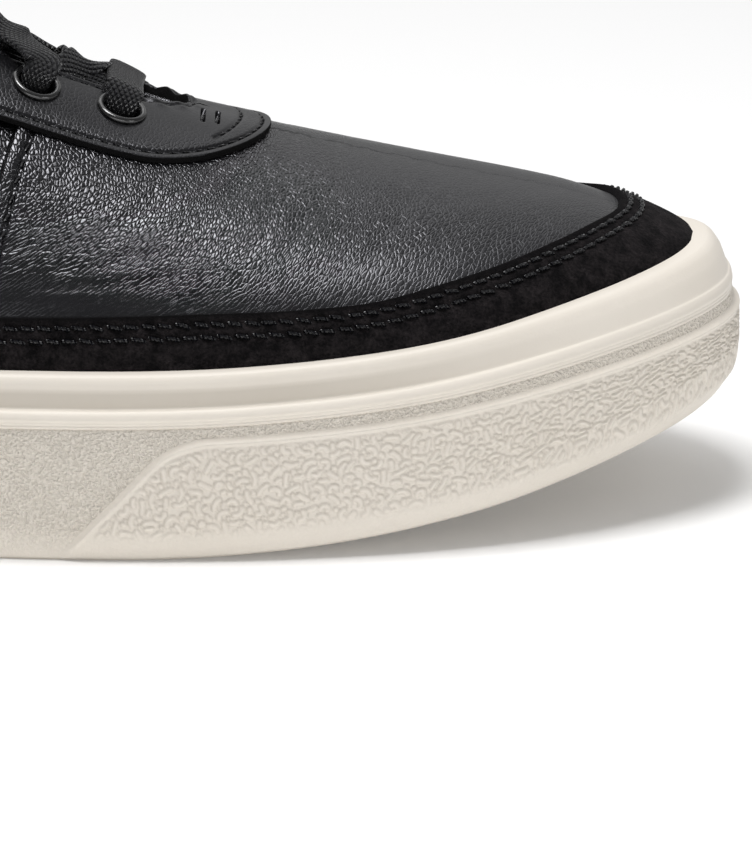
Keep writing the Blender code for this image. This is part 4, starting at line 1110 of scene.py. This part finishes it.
def buildLace():
    # flat braid carried along its way through the eyelets, its section an oval that bunches in the holes
    rows = np.array(laceHalf(1)[:0:-1] + laceHalf(-1))
    points, normal = onSkin(rows[:, 0], rows[:, 1], rows[:, 2])
    broad = triples(1.0, rows[:, 4], -0.52)
    line = throughPoints(np.concatenate([points, broad, rows[:, 3:4]], axis=1), lace["steps"])
    path, broad, share = line[:, :3], line[:, 3:6], np.clip(line[:, 6], 0, 1)
    along = unit(np.gradient(path, axis=0))
    broad = unit(broad - along * (broad * along).sum(-1, keepdims=True))
    flat = np.cross(along, broad)
    wide = lace["tight"] + (lace["width"] - lace["tight"]) * share
    thick = lace["thick"] * (lace["bunch"] - (lace["bunch"] - 1) * share)
    angle = np.linspace(0, 2 * math.pi, lace["around"], endpoint=False)
    oval = ((np.cos(angle), 0.75), (np.sin(angle), 0.60))
    a, b = (np.sign(part) * np.abs(part) ** power for part, power in oval)
    rings = (path[:, None] + broad[:, None] * (a * wide[:, None] / 2)[..., None]
             + flat[:, None] * (b * thick[:, None] / 2)[..., None])
    flow = triples(lengthsOver(path, 0)[:, None] * 1000, a * lace["width"] / 2 * 1000, 0.0)
    names = ["lace_bar"] + [f"lace_cross_{row}" for row in range(1, eyelets["rows"])]
    return addPiece("lace", rings, gridFaces(len(path), lace["around"], wrap=True), [lacing], "black_lace", names,
                    vectors={"flow": flow})


buildEyelets()
buildLace()

tongue = dict(top=-0.066, front=0.066, inset=0.0003, columns=150, rows=41, crown=0.0007, endRound=0.010,
              endThin=0.004)


def buildTongue():  # padded leaf under the laces: its face swells between edges that are thinned and rounded
    end = tongue["top"]
    swing = np.linspace(0, 1, tongue["columns"])
    x = end + tongue["inset"] + (tongue["front"] - end - tongue["inset"]) * swing ** 1.25
    turn = turnAt(x)
    reach = smoothLine(tongueRows, 1, x) * roundEnd(x, end + tongue["endRound"], end)
    rows = np.sin(np.linspace(-math.pi / 2, math.pi / 2, tongue["rows"]))
    outside, inside = acrossAt(turn, -1, reach, False), acrossAt(turn, 1, reach, False)
    across = np.where(rows < 0, outside[:, None], inside[:, None]) * rows
    body = np.sqrt(np.clip(1 - np.abs(rows) ** 5, 0, 1)) * roundEnd(x, end + tongue["endThin"], end)[:, None]
    thick = smoothLine(tongueRows, 2, x)[:, None]
    sink = shoe["wall"] + shoe["gap"] + smoothLine(tongueRows, 3, x)[:, None]
    swell = tongue["crown"] * (1 - rows ** 2) * (1 - ease(x, -0.060, -0.045))[:, None]
    middle = -sink - thick / 2
    turns = turn[:, None] + 0 * across
    top = skinAt(turns, across, middle + thick / 2 * body + swell)
    under = skinAt(turns, across, middle - thick / 2 * body)
    rings = np.concatenate([top, under[:, -2:0:-1]], axis=1)
    faces = gridFaces(*rings.shape[:2], wrap=True)
    which = np.broadcast_to(np.arange(rings.shape[1]) >= tongue["rows"] - 1, faces.shape[:2])
    flow = triples(x[:, None] * 1000, lengthsOver(rings, 1) * 1000, 0.8)
    piece = addPiece("tongue_padded", rings, faces, [stayLeather, lining], "black_leather", ["tongue"],
                     which=which, vectors={"flow": flow})
    return piece


footbedSize = dict(columns=150, rows=31, dish=0.0016, flatFrom=0.02, flatTo=0.08)


def buildFootbed():  # insole: a dished sheet on the cup's floor with a soft raised rim
    turn = np.radians(np.linspace(-90, 90, footbedSize["columns"]))
    inset = shoe["wall"] + 3 * shoe["gap"]
    x, middle, width = (part[:, None] for part in insetPlan(turn, upperInset(turn) + inset))
    rows = np.sin(np.linspace(-math.pi / 2, math.pi / 2, footbedSize["rows"]))
    low = floorAt(x) + shoe["gap"]
    flat = ease(x, footbedSize["flatFrom"], footbedSize["flatTo"])
    dish = footbedSize["dish"] * np.abs(rows) ** 3 * (1 - flat)
    edge = np.sqrt(np.clip(1 - np.abs(rows) ** 12, 0, 1))
    levels = (low + (shoe["insole"] + dish) * edge, low)
    top, under = (triples(x, middle + width * rows, level) for level in levels)
    rings = np.concatenate([top, under[:, -2:0:-1]], axis=1)
    return addPiece("insole_footbed", rings, gridFaces(*rings.shape[:2], wrap=True), [footbed], "black_lining",
                    ["insole"], vectors={"flow": rings * np.array([1000, 1000, 0])})


buildTongue()
buildFootbed()

studio = dict(floor=6.0, board="#f7f7f7", glow=0.05, sky=0.22)
lights = [  # name, place, aim, size, watts
    ("softbox over", (-0.04, -0.05, 0.95), (0.06, -0.02, 0.03), (0.34, 0.42), 6.4),
    ("softbox rear", (0.00, 0.46, 0.92), (0.10, 0.10, 0.03), (0.60, 0.50), 1.0),
    ("panel behind", (0.10, 1.45, 0.95), (0.10, 0.45, 0.0), (3.20, 1.50), 5.4),
    ("softbox low", (0.06, -1.15, 0.12), (0.08, 0.0, 0.02), (1.30, 0.22), 2.3),
    ("softbox toe", (0.95, -0.60, 0.26), (0.13, 0.0, 0.02), (0.40, 0.30), 1.1)]


def addLight(name, place, aim, size, power):
    data = bpy.data.lights.new(name, "AREA")
    data.shape, data.size, data.size_y = "RECTANGLE", size[0], size[1]
    data.energy = power
    light = bpy.data.objects.new(name, data)
    light.location = place
    x, y, z = np.array(aim) - np.array(place)
    light.rotation_euler = (math.atan2(math.hypot(x, y), -z), 0, math.atan2(y, x) - math.pi / 2)
    light.visible_camera = False
    scene.collection.objects.link(light)


def addStage():
    mesh = bpy.data.meshes.new("floor")
    s = studio["floor"] / 2
    mesh.from_pydata([(-s, -s, 0), (s, -s, 0), (s, s, 0), (-s, s, 0)], [], [(0, 1, 2, 3)])
    # Painted studio board: matt and nearly white, with a little glow that keeps the far end white
    material, tree = newMaterial("white studio board", Roughness=0.9, Specular_IOR_Level=0.1,
                                 Base_Color=linear(studio["board"]), Emission_Color=linear("#ffffff"),
                                 Emission_Strength=studio["glow"])
    mesh.materials.append(material)
    board = bpy.data.objects.new("floor", mesh)
    scene.collection.objects.link(board)
    world = bpy.data.worlds.new("studio")
    world.use_nodes = True
    sky = world.node_tree.nodes["Background"]
    sky.inputs["Color"].default_value = linear("#ffffff")
    sky.inputs["Strength"].default_value = studio["sky"]
    scene.world = world
    for row in lights:
        addLight(*row)


addStage()
print("stage lit")
